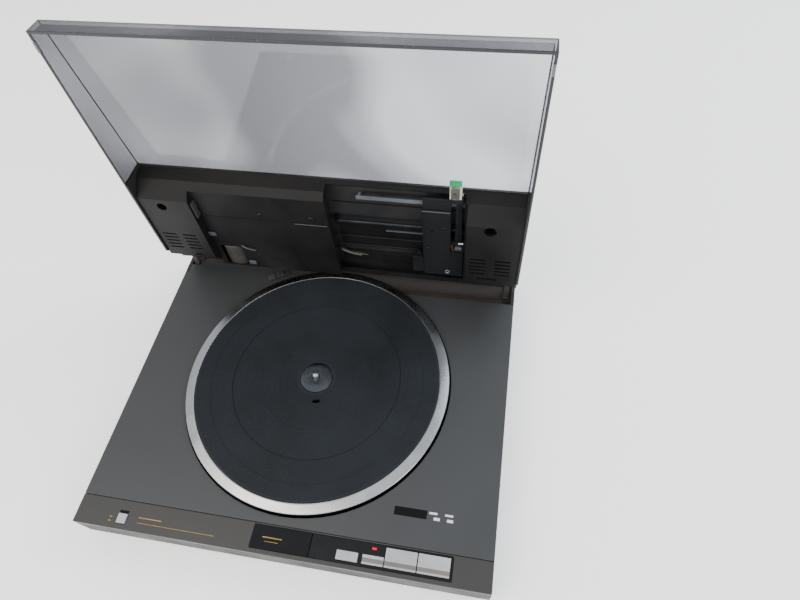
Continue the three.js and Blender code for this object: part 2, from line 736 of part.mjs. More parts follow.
function armHousing() {
  const front = COVER_BACK + GAP;
  const outer = extrude(
    [
      [front, LID_RIM], [LID_BACK - 50, LID_RIM], [LID_BACK - 47, 4], [LID_BACK - 29, 17.5],
      [LID_BACK - 14, 22], [LID_BACK - 5, 28.5], [LID_BACK, 32.5],
      [LID_BACK, LID_TOP - 3], [LID_BACK - 3, LID_TOP], [LID_CREST, LID_TOP], [front, slopeAt(front)],
    ],
    "x", -HALF, HALF,
  );
  const inner = extrude(
    [
      [front - BEYOND, LID_RIM - BEYOND], [LID_BACK - 6.5, LID_RIM - BEYOND], [LID_BACK - 6.5, 29.4],
      [LID_BACK - 2, 33.2],
      [LID_BACK - 2, LID_TOP - 3.6], [LID_BACK - 3.6, SKIN_UNDER], [LID_CREST, SKIN_UNDER],
      [front - BEYOND, slopeAt(front - BEYOND) - SKIN],
    ],
    "x", -HOUSING_INNER, HOUSING_INNER,
  );
  const pinHoles = both(
    bar(HOLE_RADIUS, "x", HOUSING_INNER - BEYOND, HALF - 1, [0, HINGE_Y, HINGE_Z]),
  );
  return cut(outer, inner, postNotch(SKIN_UNDER), pinHoles);
}

const THROUGH = UNDERSIDE + CHASSIS + BEYOND; // past the chassis's upper face
const END_THROUGH = END.face + CHASSIS + BEYOND; // past the skin of its end boxes

// The slotted vents in one end of the underside: two groups of five slots.
function vents(x0, x1, y0) {
  const cuts = [];
  const slotLength = 17;
  const pitch = 6.1;
  const slotWidth = 2.2;
  for (const x of [x0, x1 - slotLength]) {
    for (let i = 0; i < 5; i++) {
      const y = y0 + i * pitch;
      cuts.push(block(x, x + slotLength, y, y + slotWidth, END.face - BEYOND, END_THROUGH));
    }
  }
  return cuts;
}

// A solid across part of the chassis from its (y, z) outline, hollowed from above by a second outline.
function trough(outline, hollow, x0, x1, wall) {
  return { body: extrude(outline, "x", x0, x1), room: extrude(hollow, "x", x0 + wall, x1 - wall) };
}

// The deep box at each end of the chassis, and the shallower pan to the left of its window.
function chassisBoxes(front, knee) {
  const shelf = UNDERSIDE + CHASSIS;
  const fall = (END.front - knee) / (UNDERSIDE - END.face);
  const slopeTo = (z) => knee + fall * (UNDERSIDE - z);
  const wall = CHASSIS * Math.hypot(1, fall);
  const rear = CHASSIS_BACK - 6;
  const endOutline = [
    [knee, UNDERSIDE], [END.front, END.face], [END.back, END.face], [rear, UNDERSIDE - 3],
    [CHASSIS_BACK, UNDERSIDE], [CHASSIS_BACK - 0.7, shelf], [front + 5.9, shelf],
  ];
  const endRoom = [
    [knee + wall, THROUGH], [knee + wall, UNDERSIDE],
    [slopeTo(END.face + CHASSIS) + wall, END.face + CHASSIS], [END.back - 0.6, END.face + CHASSIS],
    [rear - 6, UNDERSIDE - 4.8], [rear - 6, THROUGH],
  ];
  const panOutline = [
    [knee, UNDERSIDE], [slopeTo(PAN.lip), PAN.lip], [PAN.front, PAN.lip], [PAN.front, PAN.floor],
    [PAN.back + CHASSIS, PAN.floor], [PAN.back + CHASSIS, shelf], [front + 5.9, shelf],
  ];
  const inside = PAN.floor + PAN_FLOOR;
  const panRoom = [
    [knee + wall, THROUGH], [knee + wall, UNDERSIDE], [slopeTo(inside) + wall, inside], [PAN.back, inside],
    [PAN.back, THROUGH],
  ];
  return [
    trough(endOutline, endRoom, -CHASSIS_HALF, PAN.left, CHASSIS),
    trough(endOutline, endRoom, END.inner, CHASSIS_HALF, CHASSIS),
    trough(panOutline, panRoom, PAN.left, PAN.right + CHASSIS, 0),
  ];
}

function armChassis() {
  const front = COVER_BACK + 2 * GAP;
  const knee = front + 4.4;
  const top = slopeAt(front) - SKIN - GAP;
  const bevelBack = CHASSIS_BACK + 10.6;
  const panel = extrude(
    [
      [front, top], [knee, UNDERSIDE], [CHASSIS_BACK, UNDERSIDE], [bevelBack, UNDERSIDE + 7.9],
      [bevelBack - 1.2, UNDERSIDE + 9.6], [CHASSIS_BACK - 0.7, UNDERSIDE + CHASSIS],
      [front + 5.9, UNDERSIDE + CHASSIS], [front + 2.1, top],
    ],
    "x", -CHASSIS_HALF, CHASSIS_HALF,
  );
  const boxes = chassisBoxes(front, knee);
  const panRight = block(
    PAN.right, WINDOW.left, PAN.front - 2, PAN.back + 1, PAN.floor + 0.1, UNDERSIDE + CHASSIS,
  );
  const postSide = POST_INNER - GAP * 2;
  const cheekFront = NOTCH_FRONT - CHEEK;
  const cheekBack = CHASSIS_BACK + 10;
  const cheek = both(
    block(NOTCH_INNER - CHEEK, postSide, cheekFront, cheekBack, UNDERSIDE + 1, SKIN_UNDER - GAP),
  );
  const postRoom = both(block(postSide, CHASSIS_HALF + 1, NOTCH_FRONT, LID_BACK, LID_RIM, LID_TOP));
  const full = joined(panel, ...boxes.map((box) => box.body));
  const shell = cut(full, postRoom, ...boxes.map((box) => box.room));
  return cut(
    joined(shell, panRight, cut(cheek, cheekRelief())),
    block(WINDOW.left, WINDOW.right, WINDOW.front, WINDOW.back, UNDERSIDE - BEYOND, LID_TOP),
    block(WINDOW.left, WINDOW.right, COVER_BACK, WINDOW.front + 1, UNDERSIDE - BEYOND, WINDOW.lintel),
    motorOpening(),
    both(bar(HOLE_RADIUS, "x", NOTCH_INNER - CHEEK - BEYOND, POST_INNER + BEYOND, [0, HINGE_Y, HINGE_Z])),
    bar(5.5, "z", END.face - BEYOND, END_THROUGH, [-HALF + 29, END.front + 11, 0]),
    bar(6.5, "z", END.face - BEYOND, END_THROUGH, [WINDOW.right + 27.5, END.front + 6.5, 0]),
    ...vents(-HALF + 10, PAN.left - 11, HINGE_Y - 57.5),
    ...vents(END.inner + 5, HALF - 11.6, HINGE_Y - 61.5),
    block(-HALF + 38.5, -HALF + 47.5, END.back - 5.2, END.back - 2.2, END.face - BEYOND, END_THROUGH),
    block(HALF - 46.5, HALF - 25, END.back - 11.5, END.back - 8.5, END.face - BEYOND, END_THROUGH),
  );
}

// The cheeks follow the chassis's sloping rear edge.
function cheekRelief() {
  return extrude(
    [[CHASSIS_BACK, UNDERSIDE], [CHASSIS_BACK + 12, UNDERSIDE - 1], [CHASSIS_BACK + 12, UNDERSIDE + 9]],
    "x", -HALF, HALF,
  );
}

function motorOpening() {
  const half = MOTOR.width / 2 - 1;
  const { floor } = PAN;
  return block(
    WORM_X - half, WORM_X + half, MOTOR.front - 1.5, PAN.back, floor - BEYOND, floor + PAN_FLOOR + BEYOND,
  );
}

const hingePin = () => bar(PIN_RADIUS, "x", NOTCH_INNER - CHEEK, HALF - 1 - GAP, [0, HINGE_Y, HINGE_Z]);

function guideBar() {
  const [x0, x1] = [WINDOW.left + 31, WINDOW.right - 1.5];
  const [y0, y1] = [WINDOW.front + 10.6, WINDOW.front + 15.6];
  const bottom = WINDOW.lintel - 0.6;
  const top = slopeAt(y0) - SKIN - GAP;
  return joined(
    block(x0, x1, y0, y1, bottom, bottom + 1.4),
    block(x0 + 2, x0 + 5, y0, y1, bottom + 1, top),
    block(x1 - 4, x1, y0, y1, bottom + 1, top),
  );
}

function guideRod() {
  const [x0, x1] = [WINDOW.left + 1.3, WINDOW.right - 1.3];
  const endBlock = 4;
  const blocks = [x0, x1 - endBlock].map((x) =>
    block(x, x + endBlock, ROD_Y - 3.5, ROD_Y + 3.5, ROD_Z - 3.5, SKIN_UNDER - GAP),
  );
  return joined(bar(ROD_RADIUS, "x", x0, x1, [0, ROD_Y, ROD_Z], 16), ...blocks);
}

// A flat-sided direct-current motor, its shaft towards the front.
function armMotor() {
  const half = MOTOR.width / 2;
  const halfHeight = (SKIN_UNDER - GAP - MOTOR.bottom) / 2;
  const middle = MOTOR.bottom + halfHeight;
  const round = new THREE.Shape();
  const reach = Math.asin(halfHeight / half);
  round.absarc(0, 0, half, -reach, reach);
  round.absarc(0, 0, half, Math.PI - reach, Math.PI + reach);
  // The outline's two coordinates are (z, x), so it is drawn on its side.
  const points = round.getPoints(8).map((p) => [p.y + middle, p.x + WORM_X]).reverse();
  return joined(
    extrude(points, "y", MOTOR.front, MOTOR.back),
    bar(4, "y", MOTOR.front - 1.5, MOTOR.front + 1, [WORM_X, 0, GEAR_MIDDLE], 16),
  );
}

function motorWorm() {
  return joined(
    bar(WORM_RADIUS, "y", PULLEY_Y - 6, PULLEY_Y + 6, [WORM_X, 0, GEAR_MIDDLE], 16),
    bar(1, "y", PULLEY_Y - 9, MOTOR.front - 1.5 - GAP, [WORM_X, 0, GEAR_MIDDLE], 12),
  );
}

// The worm wheel and the drum that winds the carriage's cord, on one axle.
function driveGear() {
  const points = [];
  const tooth = 0.9;
  for (let i = 0; i < GEAR_TEETH; i++) {
    for (const [part, height] of [[0, 0], [0.3, 0], [0.45, tooth], [0.85, tooth]]) {
      const angle = ((i + part) * 2 * Math.PI) / GEAR_TEETH;
      const radius = GEAR_RADIUS - tooth + height;
      points.push([radius * Math.cos(angle), radius * Math.sin(angle)]);
    }
  }
  const gear = extrude(points, "z", GEAR_BOTTOM, DRUM_BOTTOM).translate([DRUM_X, PULLEY_Y, 0]);
  return joined(
    gear,
    bar(DRUM_RADIUS, "z", DRUM_BOTTOM - 0.1, DRUM_BOTTOM + DRUM_THICKNESS, [DRUM_X, PULLEY_Y, 0]),
    bar(1.5, "z", DRUM_BOTTOM, SKIN_UNDER - GAP, [DRUM_X, PULLEY_Y, 0], 12),
  );
}

function cordPulley() {
  return joined(
    bar(DRUM_RADIUS, "z", DRUM_BOTTOM, DRUM_BOTTOM + DRUM_THICKNESS, [IDLER_X, PULLEY_Y, 0]),
    bar(1.5, "z", DRUM_BOTTOM - 3, SKIN_UNDER - GAP, [IDLER_X, PULLEY_Y, 0], 12),
  );
}

// The cord's closed loop round the drum and the pulley.
function driveCord() {
  const loop = (radius) => {
    const shape = new THREE.Shape();
    shape.absarc(IDLER_X, PULLEY_Y, radius, -Math.PI / 2, Math.PI / 2);
    shape.absarc(DRUM_X, PULLEY_Y, radius, Math.PI / 2, 1.5 * Math.PI);
    return extrude(shape, "z", CORD_BOTTOM, CORD_BOTTOM + CORD);
  };
  const inner = DRUM_RADIUS + GAP;
  const inside = loop(inner).scale([1, 1, 3]).translate([0, 0, -2 * CORD_BOTTOM - CORD]);
  return cut(loop(inner + CORD), inside);
}

function lidBoard() {
  const top = 30.6;
  const y = PAN.front + 16;
  const parts = [
    block(-95, -65, y + 7, y + 19, top - 0.5, top + 3),
    block(-45, -25, y + 12, y + 34, top - 0.5, top + 3),
    bar(4, "z", top - 0.5, top + 5.5, [-88, y + 37, 0], 16),
  ];
  const area = { x0: -108, x1: PAN.right - 12, y0: y, y1: y + 50 };
  return circuitBoard(area, top, PAN.floor + PAN_FLOOR + GAP, parts);
}

// ---------------------------------------------------------------- carriage and tonearm

const YOKE = {
  x0: CARRIAGE.right + 1.2,
  x1: WINDOW.right - GAP,
  y0: ARM_PIVOT_Y - 7,
  y1: ARM_PIVOT_Y + 11.5,
};

function carriage() {
  const { left, right, front, back, bottom } = CARRIAGE;
  const top = bottom + 2;
  const rightLow = WINDOW.right - 1;
  return cut(
    joined(
      block(left, right, front, back, bottom, top),
      block(left, rightLow, YOKE.y1 + 0.5, back, bottom, top),
      block(left + 1, right, WINDOW.front + 1, front + 2, top + 1.5, top + 3.5),
      block(left + 1, right, front - 1, front + 2, bottom + 1, top + 2),
      block(left + 3, right - 6, ROD_Y - 6, ROD_Y + 6, top - 1, ROD_Z + 4),
    ),
    bar(ROD_RADIUS + RUNNING, "x", left - BEYOND, right + BEYOND, [0, ROD_Y, ROD_Z], 16),
  );
}

const CORD_CLAMP = {
  x0: CARRIAGE.left - 13,
  x1: CARRIAGE.left - GAP,
  y0: PULLEY_Y + 6,
  y1: CARRIAGE.back - 2.5,
};

function cordClamp() {
  const front = PULLEY_Y + DRUM_RADIUS;
  const { bottom } = CARRIAGE;
  const { x0 } = CORD_CLAMP;
  return joined(
    slab(CORD_CLAMP, bottom + 0.5, bottom + 7),
    block(x0 + 4, x0 + 9, front - 1.5, front + 4, bottom + 6, CORD_BOTTOM - GAP),
  );
}

// The yoke on the carriage that the tonearm swings in.
function armBase() {
  const { x0, x1, y0, y1 } = YOKE;
  const arm = ARM_WIDTH / 2 + GAP;
  return cut(
    block(x0, x1, y0, y1, CARRIAGE.bottom + 0.2, ARM_BASE_TOP),
    block(ARM_X - arm, ARM_X + arm, y0 - BEYOND, y1 - 3, CARRIAGE.bottom - BEYOND, ARM_BASE_TOP + BEYOND),
    bar(HOLE_RADIUS - 0.3, "x", x0 + 1, x1 - 0.8, [0, ARM_PIVOT_Y, ARM_PIVOT_Z], 16),
  );
}

const armPivotPin = () => bar(
  PIN_RADIUS - 0.3, "x", YOKE.x0 + 1 + GAP, YOKE.x1 - 0.8 - GAP, [0, ARM_PIVOT_Y, ARM_PIVOT_Z], 16,
);

function tonearm() {
  const half = ARM_WIDTH / 2;
  const taper = 0.9;
  const front = CARTRIDGE_BACK + GAP;
  const outline = [
    [ARM_X - half + taper, front + 8], [ARM_X + half - taper, front + 8],
    [ARM_X + half, ARM_PIVOT_Y + 3], [ARM_X - half, ARM_PIVOT_Y + 3],
  ];
  const headLeft = STYLUS_X - CARTRIDGE_WIDTH / 2;
  const top = ARM_PIVOT_Z + ARM_THICKNESS / 2;
  return cut(
    joined(
      extrude(outline, "z", top - ARM_THICKNESS, top),
      block(headLeft, ARM_X + half, front, front + 9, CARTRIDGE_BOTTOM + 2.5, top),
    ),
    bar(HOLE_RADIUS - 0.3, "x", YOKE.x0, YOKE.x1, [0, ARM_PIVOT_Y, ARM_PIVOT_Z], 16),
  );
}

function counterweight() {
  const half = ARM_WIDTH / 2;
  const halfHeight = 3.5;
  return block(
    ARM_X - half, ARM_X + half, ARM_PIVOT_Y + 3 + GAP, YOKE.y1 - 3.5,
    ARM_PIVOT_Z - halfHeight, ARM_PIVOT_Z + halfHeight,
  );
}

const cartridgeLeft = STYLUS_X - CARTRIDGE_WIDTH / 2;
const cartridgeRight = STYLUS_X + CARTRIDGE_WIDTH / 2;

// A wedge-nosed body with a slot along its underside for the stylus holder.
function cartridgeBody() {
  const height = 9;
  const slot = 3.2;
  const outline = [
    [CARTRIDGE_FRONT, CARTRIDGE_BOTTOM], [CARTRIDGE_BACK, CARTRIDGE_BOTTOM],
    [CARTRIDGE_BACK, CARTRIDGE_BOTTOM + height], [CARTRIDGE_FRONT + 14, CARTRIDGE_BOTTOM + height],
    [CARTRIDGE_FRONT, CARTRIDGE_BOTTOM + 1.6],
  ];
  return cut(
    extrude(outline, "x", cartridgeLeft, cartridgeRight),
    block(
      STYLUS_X - slot, STYLUS_X + slot, CARTRIDGE_FRONT + 6, CARTRIDGE_BACK + BEYOND,
      CARTRIDGE_BOTTOM - BEYOND, CARTRIDGE_BOTTOM + 2,
    ),
  );
}

const cartridgeLabel = () => block(
  cartridgeLeft + 0.8, cartridgeRight - 0.8, CARTRIDGE_FRONT + 0.3, CARTRIDGE_FRONT + 5.5,
  CARTRIDGE_BOTTOM - GAP - 0.6, CARTRIDGE_BOTTOM - GAP,
);

const STYLUS_TIP = 12.9;
const GUARD = {
  bottom: 12,
  thickness: 0.6,
  earTop: 14.6,
  front: CARTRIDGE_FRONT + 6.2,
  back: CARTRIDGE_FRONT + 20,
};

// The plug-in stylus: its holder, and the cantilever that ends in the tip over the platter's centre line.
function stylus() {
  const holder = block(
    STYLUS_X - 2.9, STYLUS_X + 2.9, CARTRIDGE_FRONT + 11, CARTRIDGE_BACK - 1,
    CARTRIDGE_BOTTOM - 1.4, CARTRIDGE_BOTTOM + 1.7,
  );
  const [low, high] = [STYLUS_TIP, STYLUS_TIP + 1.3];
  const cantilever = extrude(
    [
      [PLATTER_Y - 0.5, low], [PLATTER_Y + 0.3, low], [PLATTER_Y + 3, high - 0.5],
      [CARTRIDGE_FRONT + 12, CARTRIDGE_BOTTOM - 0.4], [CARTRIDGE_FRONT + 12, CARTRIDGE_BOTTOM + 0.6],
      [PLATTER_Y - 0.5, high],
    ],
    "x", STYLUS_X - 0.4, STYLUS_X + 0.4,
  );
  return joined(holder, cantilever);
}

// The guard that folds over the stylus, with the round hole that shows the tip.
function stylusGuard() {
  const [x0, x1] = [STYLUS_X - 4.4, STYLUS_X + 4.4];
  const { bottom, thickness, earTop, front, back } = GUARD;
  return cut(
    joined(
      block(x0, x1, front, back, bottom, bottom + thickness),
      block(x0, x0 + 0.8, front, front + 4, bottom, earTop),
      block(x1 - 0.8, x1, front, front + 4, bottom, earTop),
    ),
    bar(2.1, "z", bottom - BEYOND, bottom + thickness + 1, [STYLUS_X, PLATTER_Y + 2.6, 0], 16),
  );
}

// The screw that locks the plug-in cartridge from the side.
function cartridgeScrew() {
  const at = [0, CARTRIDGE_BACK - 3, CARTRIDGE_BOTTOM + 4.6];
  return bar(1.6, "x", cartridgeRight + GAP, cartridgeRight + 1.6, at, 16);
}

// ---------------------------------------------------------------- assembly

const deck = new THREE.Group();
deck.position.set(0, -DEPTH / 2, DECK_HEIGHT);
deck.add(
  mesh("cabinet", cabinet(), FINISH.black),
  mesh("bottom_cover", bottomCover(), FINISH.black),
  mesh("top_plate", topPlate(), FINISH.grey),
  mesh("control_strip", controlStrip(), FINISH.strip),
  mesh("window_insert", windowInsert(), FINISH.gloss),
  mesh("key_bezel", keyBezel(), FINISH.gloss),
  mesh("repeat_led", repeatLed(), FINISH.red),
  mesh("cue_rocker", cueRocker(), FINISH.silver),
  mesh("key_board", keyBoard(), FINISH.board),
  mesh("power_switch", powerSwitch(), FINISH.black),
  mesh("platter_bearing", platterBearing(), FINISH.steel),
  mesh("motor_stator", motorStator(), FINISH.copper),
  mesh("motor_board", motorBoard(), FINISH.board),
  mesh("power_transformer", powerTransformer(), FINISH.steel),
  mesh("control_board", controlBoard(), FINISH.board),
  mesh("lead_clamp", leadClamp(), FINISH.slate),
  mesh("hinge_post_left", mirrored(hingePost()), FINISH.slate),
  mesh("hinge_post_right", hingePost(), FINISH.slate),
  mesh("platter", platter(), FINISH.aluminium),
  mesh("platter_mat", platterMat(), FINISH.rubber),
  mesh("hub_cap", hubCap(), FINISH.aluminium),
  mesh("spindle", spindle(), FINISH.steel),
  mesh("rotor_magnet", rotorMagnet(), FINISH.magnet),
);
for (const [name, area] of Object.entries(KEYS)) deck.add(mesh(name, key(area), FINISH.silver));
for (const [name, x] of Object.entries(GLANDS)) deck.add(mesh(name, cordGland(x), FINISH.black));
for (const [side, x] of [["left", -HALF + FOOT_INSET_X], ["right", HALF - FOOT_INSET_X]]) {
  deck.add(mesh("foot_front_" + side, foot(x, FOOT_INSET_Y), FINISH.rubber));
  deck.add(mesh("foot_rear_" + side, foot(x, DEPTH - FOOT_INSET_Y), FINISH.rubber));
}

const closedLid = new THREE.Group();
closedLid.position.set(0, -HINGE_Y, -HINGE_Z);
closedLid.add(
  mesh("lid_cover", lidCover(), FINISH.acrylic),
  mesh("lid_bumper_left", lidBumper(-1), FINISH.rubber),
  mesh("lid_bumper_right", lidBumper(1), FINISH.rubber),
  mesh("arm_housing", armHousing(), FINISH.black),
  mesh("arm_chassis", armChassis(), FINISH.black),
  mesh("hinge_pin_left", mirrored(hingePin()), FINISH.steel),
  mesh("hinge_pin_right", hingePin(), FINISH.steel),
  mesh("guide_bar", guideBar(), FINISH.slate),
  mesh("guide_rod", guideRod(), FINISH.steel),
  mesh("arm_motor", armMotor(), FINISH.steel),
  mesh("motor_worm", motorWorm(), FINISH.steel),
  mesh("drive_gear", driveGear(), FINISH.cream),
  mesh("cord_pulley", cordPulley(), FINISH.cream),
  mesh("drive_cord", driveCord(), FINISH.cord),
  mesh("lid_board", lidBoard(), FINISH.board),
  mesh("carriage", carriage(), FINISH.grey),
  mesh("cord_clamp", cordClamp(), FINISH.slate),
  mesh("arm_base", armBase(), FINISH.black),
  mesh("arm_pivot_pin", armPivotPin(), FINISH.steel),
  mesh("tonearm", tonearm(), FINISH.black),
  mesh("counterweight", counterweight(), FINISH.steel),
  mesh("cartridge_body", cartridgeBody(), FINISH.cream),
  mesh("cartridge_label", cartridgeLabel(), FINISH.green),
  mesh("stylus", stylus(), FINISH.amber),
  mesh("stylus_guard", stylusGuard(), FINISH.steel),
  mesh("cartridge_screw", cartridgeScrew(), FINISH.steel),
);
const lid = new THREE.Group();
lid.position.set(0, HINGE_Y, HINGE_Z);
lid.rotation.x = THREE.MathUtils.degToRad(-OPEN_ANGLE);
lid.add(closedLid);
deck.add(lid);

const turntable = new THREE.Group();
turntable.add(deck);

export default turntable;
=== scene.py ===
"""The looks of an automatic turntable with its lid open: materials, fine pieces, light and camera."""

import json
import math

import bmesh
import bpy
from mathutils import Matrix, Vector


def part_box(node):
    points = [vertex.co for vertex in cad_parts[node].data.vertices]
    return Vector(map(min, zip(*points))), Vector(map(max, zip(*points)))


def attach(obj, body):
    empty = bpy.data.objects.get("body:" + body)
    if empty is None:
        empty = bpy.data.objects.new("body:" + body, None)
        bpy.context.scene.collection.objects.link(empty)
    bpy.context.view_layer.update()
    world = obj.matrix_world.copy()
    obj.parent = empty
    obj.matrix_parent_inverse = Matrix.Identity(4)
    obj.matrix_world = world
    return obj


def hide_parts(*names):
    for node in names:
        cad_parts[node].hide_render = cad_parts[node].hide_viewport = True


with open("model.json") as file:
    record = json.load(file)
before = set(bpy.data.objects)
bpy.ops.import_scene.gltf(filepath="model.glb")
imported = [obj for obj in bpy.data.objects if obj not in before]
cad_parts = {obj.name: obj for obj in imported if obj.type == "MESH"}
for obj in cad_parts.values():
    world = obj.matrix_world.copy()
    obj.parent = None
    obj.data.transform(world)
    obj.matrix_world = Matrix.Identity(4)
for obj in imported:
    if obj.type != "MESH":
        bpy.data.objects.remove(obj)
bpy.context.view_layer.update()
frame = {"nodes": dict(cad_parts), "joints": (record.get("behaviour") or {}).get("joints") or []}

# ---------------------------------------------------------------- the two drawing frames

MM = 0.001
NODES = frame["nodes"]


def axis_of(joint):
    """A point on a joint's axis, in metres."""
    return Vector(next(j for j in frame["joints"] if j["name"] == joint)["pos_m"])


HINGE = axis_of("lid_hinge")
PLATTER_AXIS = axis_of("platter_spin")
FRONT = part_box("cabinet")[0].y
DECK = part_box("top_plate")[1].z
HINGE_BACK = (HINGE.y - FRONT) / MM
HINGE_UP = (HINGE.z - DECK) / MM

# Millimetres to the right of the middle, back from the front edge and up from the deck.
ON_DECK = Matrix.Translation((0, FRONT, DECK)) @ Matrix.Diagonal((MM, MM, MM, 1))
# The same three distances for a point of the lid while it is closed, turned up to where it stands open.
ON_LID = (
    Matrix.Translation(HINGE)
    @ Matrix.Rotation(-math.pi / 2, 4, "X")
    @ Matrix.Diagonal((MM, MM, MM, 1))
    @ Matrix.Translation((0, -HINGE_BACK, -HINGE_UP))
)


def extent(node, where=ON_DECK):
    """A CAD piece's box as (x0, x1, y0, y1, z0, z1) in millimetres of one of the drawing frames."""
    back = where.inverted()
    a, b = (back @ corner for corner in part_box(node))
    return tuple(f(a[i], b[i]) for i in range(3) for f in (min, max))


# ---------------------------------------------------------------- shader helpers


def srgb(code):
    """A colour written as sRGB hex, as linear red, green, blue and alpha."""
    channels = (int(code[i:i + 2], 16) / 255 for i in (1, 3, 5))
    return tuple(c / 12.92 if c <= 0.04045 else ((c + 0.055) / 1.055) ** 2.4 for c in channels) + (1.0,)


def add(tree, kind, inputs=None, **settings):
    """Adds a shader node; each input is a value or another node's output to link."""
    node = tree.nodes.new("ShaderNode" + kind)
    for name, value in settings.items():
        setattr(node, name, value)
    for name, value in (inputs or {}).items():
        if isinstance(value, bpy.types.NodeSocket):
            tree.links.new(value, node.inputs[name])
        else:
            node.inputs[name].default_value = value
    return node


def place(tree):
    """Positions on the object, in metres."""
    return add(tree, "TexCoord").outputs["Object"]


def noise(tree, size, detail=3.0, stretch=None, warp=0.0):
    """Noise from 0 to 1 with features of that size in millimetres."""
    vector = place(tree)
    if stretch:
        vector = add(tree, "Mapping", {"Vector": vector, "Scale": stretch}).outputs["Vector"]
    return add(tree, "TexNoise", {
        "Vector": vector, "Scale": 1 / (size * MM), "Detail": detail, "Distortion": warp,
    }).outputs["Fac"]


def joined(tree, operation, *values):
    """Two or three numbers brought together by a Math node."""
    return add(tree, "Math", dict(enumerate(values)), operation=operation).outputs["Value"]


def between(tree, factor, low, high, start=0.3, end=0.7):
    """A factor spread over the range from low to high."""
    return add(
        tree, "MapRange",
        {"Value": factor, "From Min": start, "From Max": end, "To Min": low, "To Max": high},
    ).outputs["Result"]


def mixed(tree, factor, a, b):
    """One colour blended into another."""
    return add(tree, "Mix", {"Factor": factor, 6: a, 7: b}, data_type="RGBA").outputs[2]


def bump(tree, height, depth):
    """A surface normal bent by a height map of that depth in millimetres."""
    return add(tree, "Bump", {"Height": height, "Distance": depth * MM}).outputs["Normal"]


def around(tree, centre):
    """Distance in metres from a vertical axis, for marks that run round it."""
    moved = add(tree, "VectorMath", {0: place(tree), 1: (-centre.x, -centre.y, 0)}, operation="ADD")
    flat = add(tree, "VectorMath", {0: moved.outputs["Vector"], 1: (1, 1, 0)}, operation="MULTIPLY")
    return add(tree, "VectorMath", {0: flat.outputs["Vector"]}, operation="LENGTH").outputs["Value"]


def material(name, paint):
    """A new material whose surface is the shader that paint(tree) gives."""
    made = bpy.data.materials.new(name)
    made.use_nodes = True
    made.node_tree.nodes.clear()
    shader = paint(made.node_tree)
    add(made.node_tree, "OutputMaterial", {"Surface": shader.outputs[0]})
    return made


# ---------------------------------------------------------------- materials


def metallic_paint(dark, light):
    """Satin grey enamel with metal flake: the flake glints, and handling marks vary the gloss."""
    def paint(tree):
        flake = noise(tree, 0.35, 2.0)
        wear = noise(tree, 60, 4.0)
        colour = mixed(tree, between(tree, flake, 0, 1), srgb(dark), srgb(light))
        return add(tree, "BsdfPrincipled", {
            "Base Color": colour,
            "Metallic": 0.35,
            "Roughness": between(tree, wear, 0.36, 0.5),
            "Normal": bump(tree, flake, 0.012),
        })
    return paint


def moulded(dark, light, grain=0.45, depth=0.02, rough=(0.42, 0.6), settings=None):
    """Moulded plastic: an etched grain from the tool, and a film of dust that dulls it in places."""
    def paint(tree):
        dust = noise(tree, 35, 5.0)
        pits = noise(tree, grain, 2.0)
        inputs = {
            "Base Color": mixed(tree, between(tree, dust, 0, 1), srgb(dark), srgb(light)),
            "Roughness": between(tree, dust, *rough),
            "Normal": bump(tree, pits, depth),
        }
        return add(tree, "BsdfPrincipled", {**inputs, **(settings or {})})
    return paint


def cabinet_plastic(tree):
    """Moulded black cabinet plastic, browned in noisy patches across the trough under the lid by a painted
    warm reflection.
    """
    behind = add(tree, "SeparateXYZ", {"Vector": place(tree)}).outputs["Y"]
    # Painted warm reflection: behind the deck the black turns brown, broken into patches by noise.
    trough = between(tree, behind, 0, 1, *TROUGH)
    dust = between(tree, noise(tree, 25, 5.0), 0.35, 1)
    cover = joined(tree, "MULTIPLY", trough, dust)
    return add(tree, "BsdfPrincipled", {
        "Base Color": mixed(tree, cover, srgb("#1b1b1d"), srgb("#2a2019")),
        "Roughness": between(tree, noise(tree, 35, 5.0), 0.42, 0.6),
        "Normal": bump(tree, noise(tree, 0.45, 2.0), 0.02),
    })


def gloss(colour, rough=0.07, shine=0.3):
    """Polished plastic: hairline scratches that break up a clean reflection."""
    def paint(tree):
        scratches = noise(tree, 0.5, 3.0, stretch=(1.0, 0.04, 1.0))
        haze = noise(tree, 18, 4.0)
        return add(tree, "BsdfPrincipled", {
            "Base Color": srgb(colour),
            "Roughness": between(tree, haze, rough, rough + 0.1),
            "Specular IOR Level": shine,
            "Normal": bump(tree, scratches, 0.002),
        })
    return paint


def satin_metal(dark, light, rough=(0.28, 0.42), stretch=(1.0, 1.0, 0.06), metallic=0.9):
    """Plated or drawn metal: fine lines along one direction that smear the highlight."""
    def paint(tree):
        lines = noise(tree, 0.25, 3.0, stretch=stretch)
        tone = noise(tree, 12, 3.0)
        return add(tree, "BsdfPrincipled", {
            "Base Color": mixed(tree, between(tree, tone, 0, 1), srgb(dark), srgb(light)),
            "Metallic": metallic,
            "Roughness": between(tree, lines, *rough),
            "Normal": bump(tree, lines, 0.004),
        })
    return paint


def turned_metal(colour, centre, pitch, rough=(0.16, 0.3), depth=0.004, anisotropy=0.75):
    """Metal faced on a lathe: rings of tool marks that spread each highlight into a fan across them."""
    def paint(tree):
        radius = around(tree, centre)
        rings = add(tree, "TexNoise", {"W": radius, "Scale": 1 / (pitch * MM), "Detail": 4.0},
                    noise_dimensions="1D").outputs["Fac"]
        wipe = noise(tree, 25, 4.0)
        tangent = add(tree, "Tangent", direction_type="RADIAL", axis="Z").outputs["Tangent"]
        return add(tree, "BsdfPrincipled", {
            "Base Color": srgb(colour),
            "Metallic": 1.0,
            "Roughness": between(tree, wipe, *rough),
            "Anisotropic": anisotropy,
            "Tangent": tangent,
            "Normal": bump(tree, rings, depth),
        })
    return paint


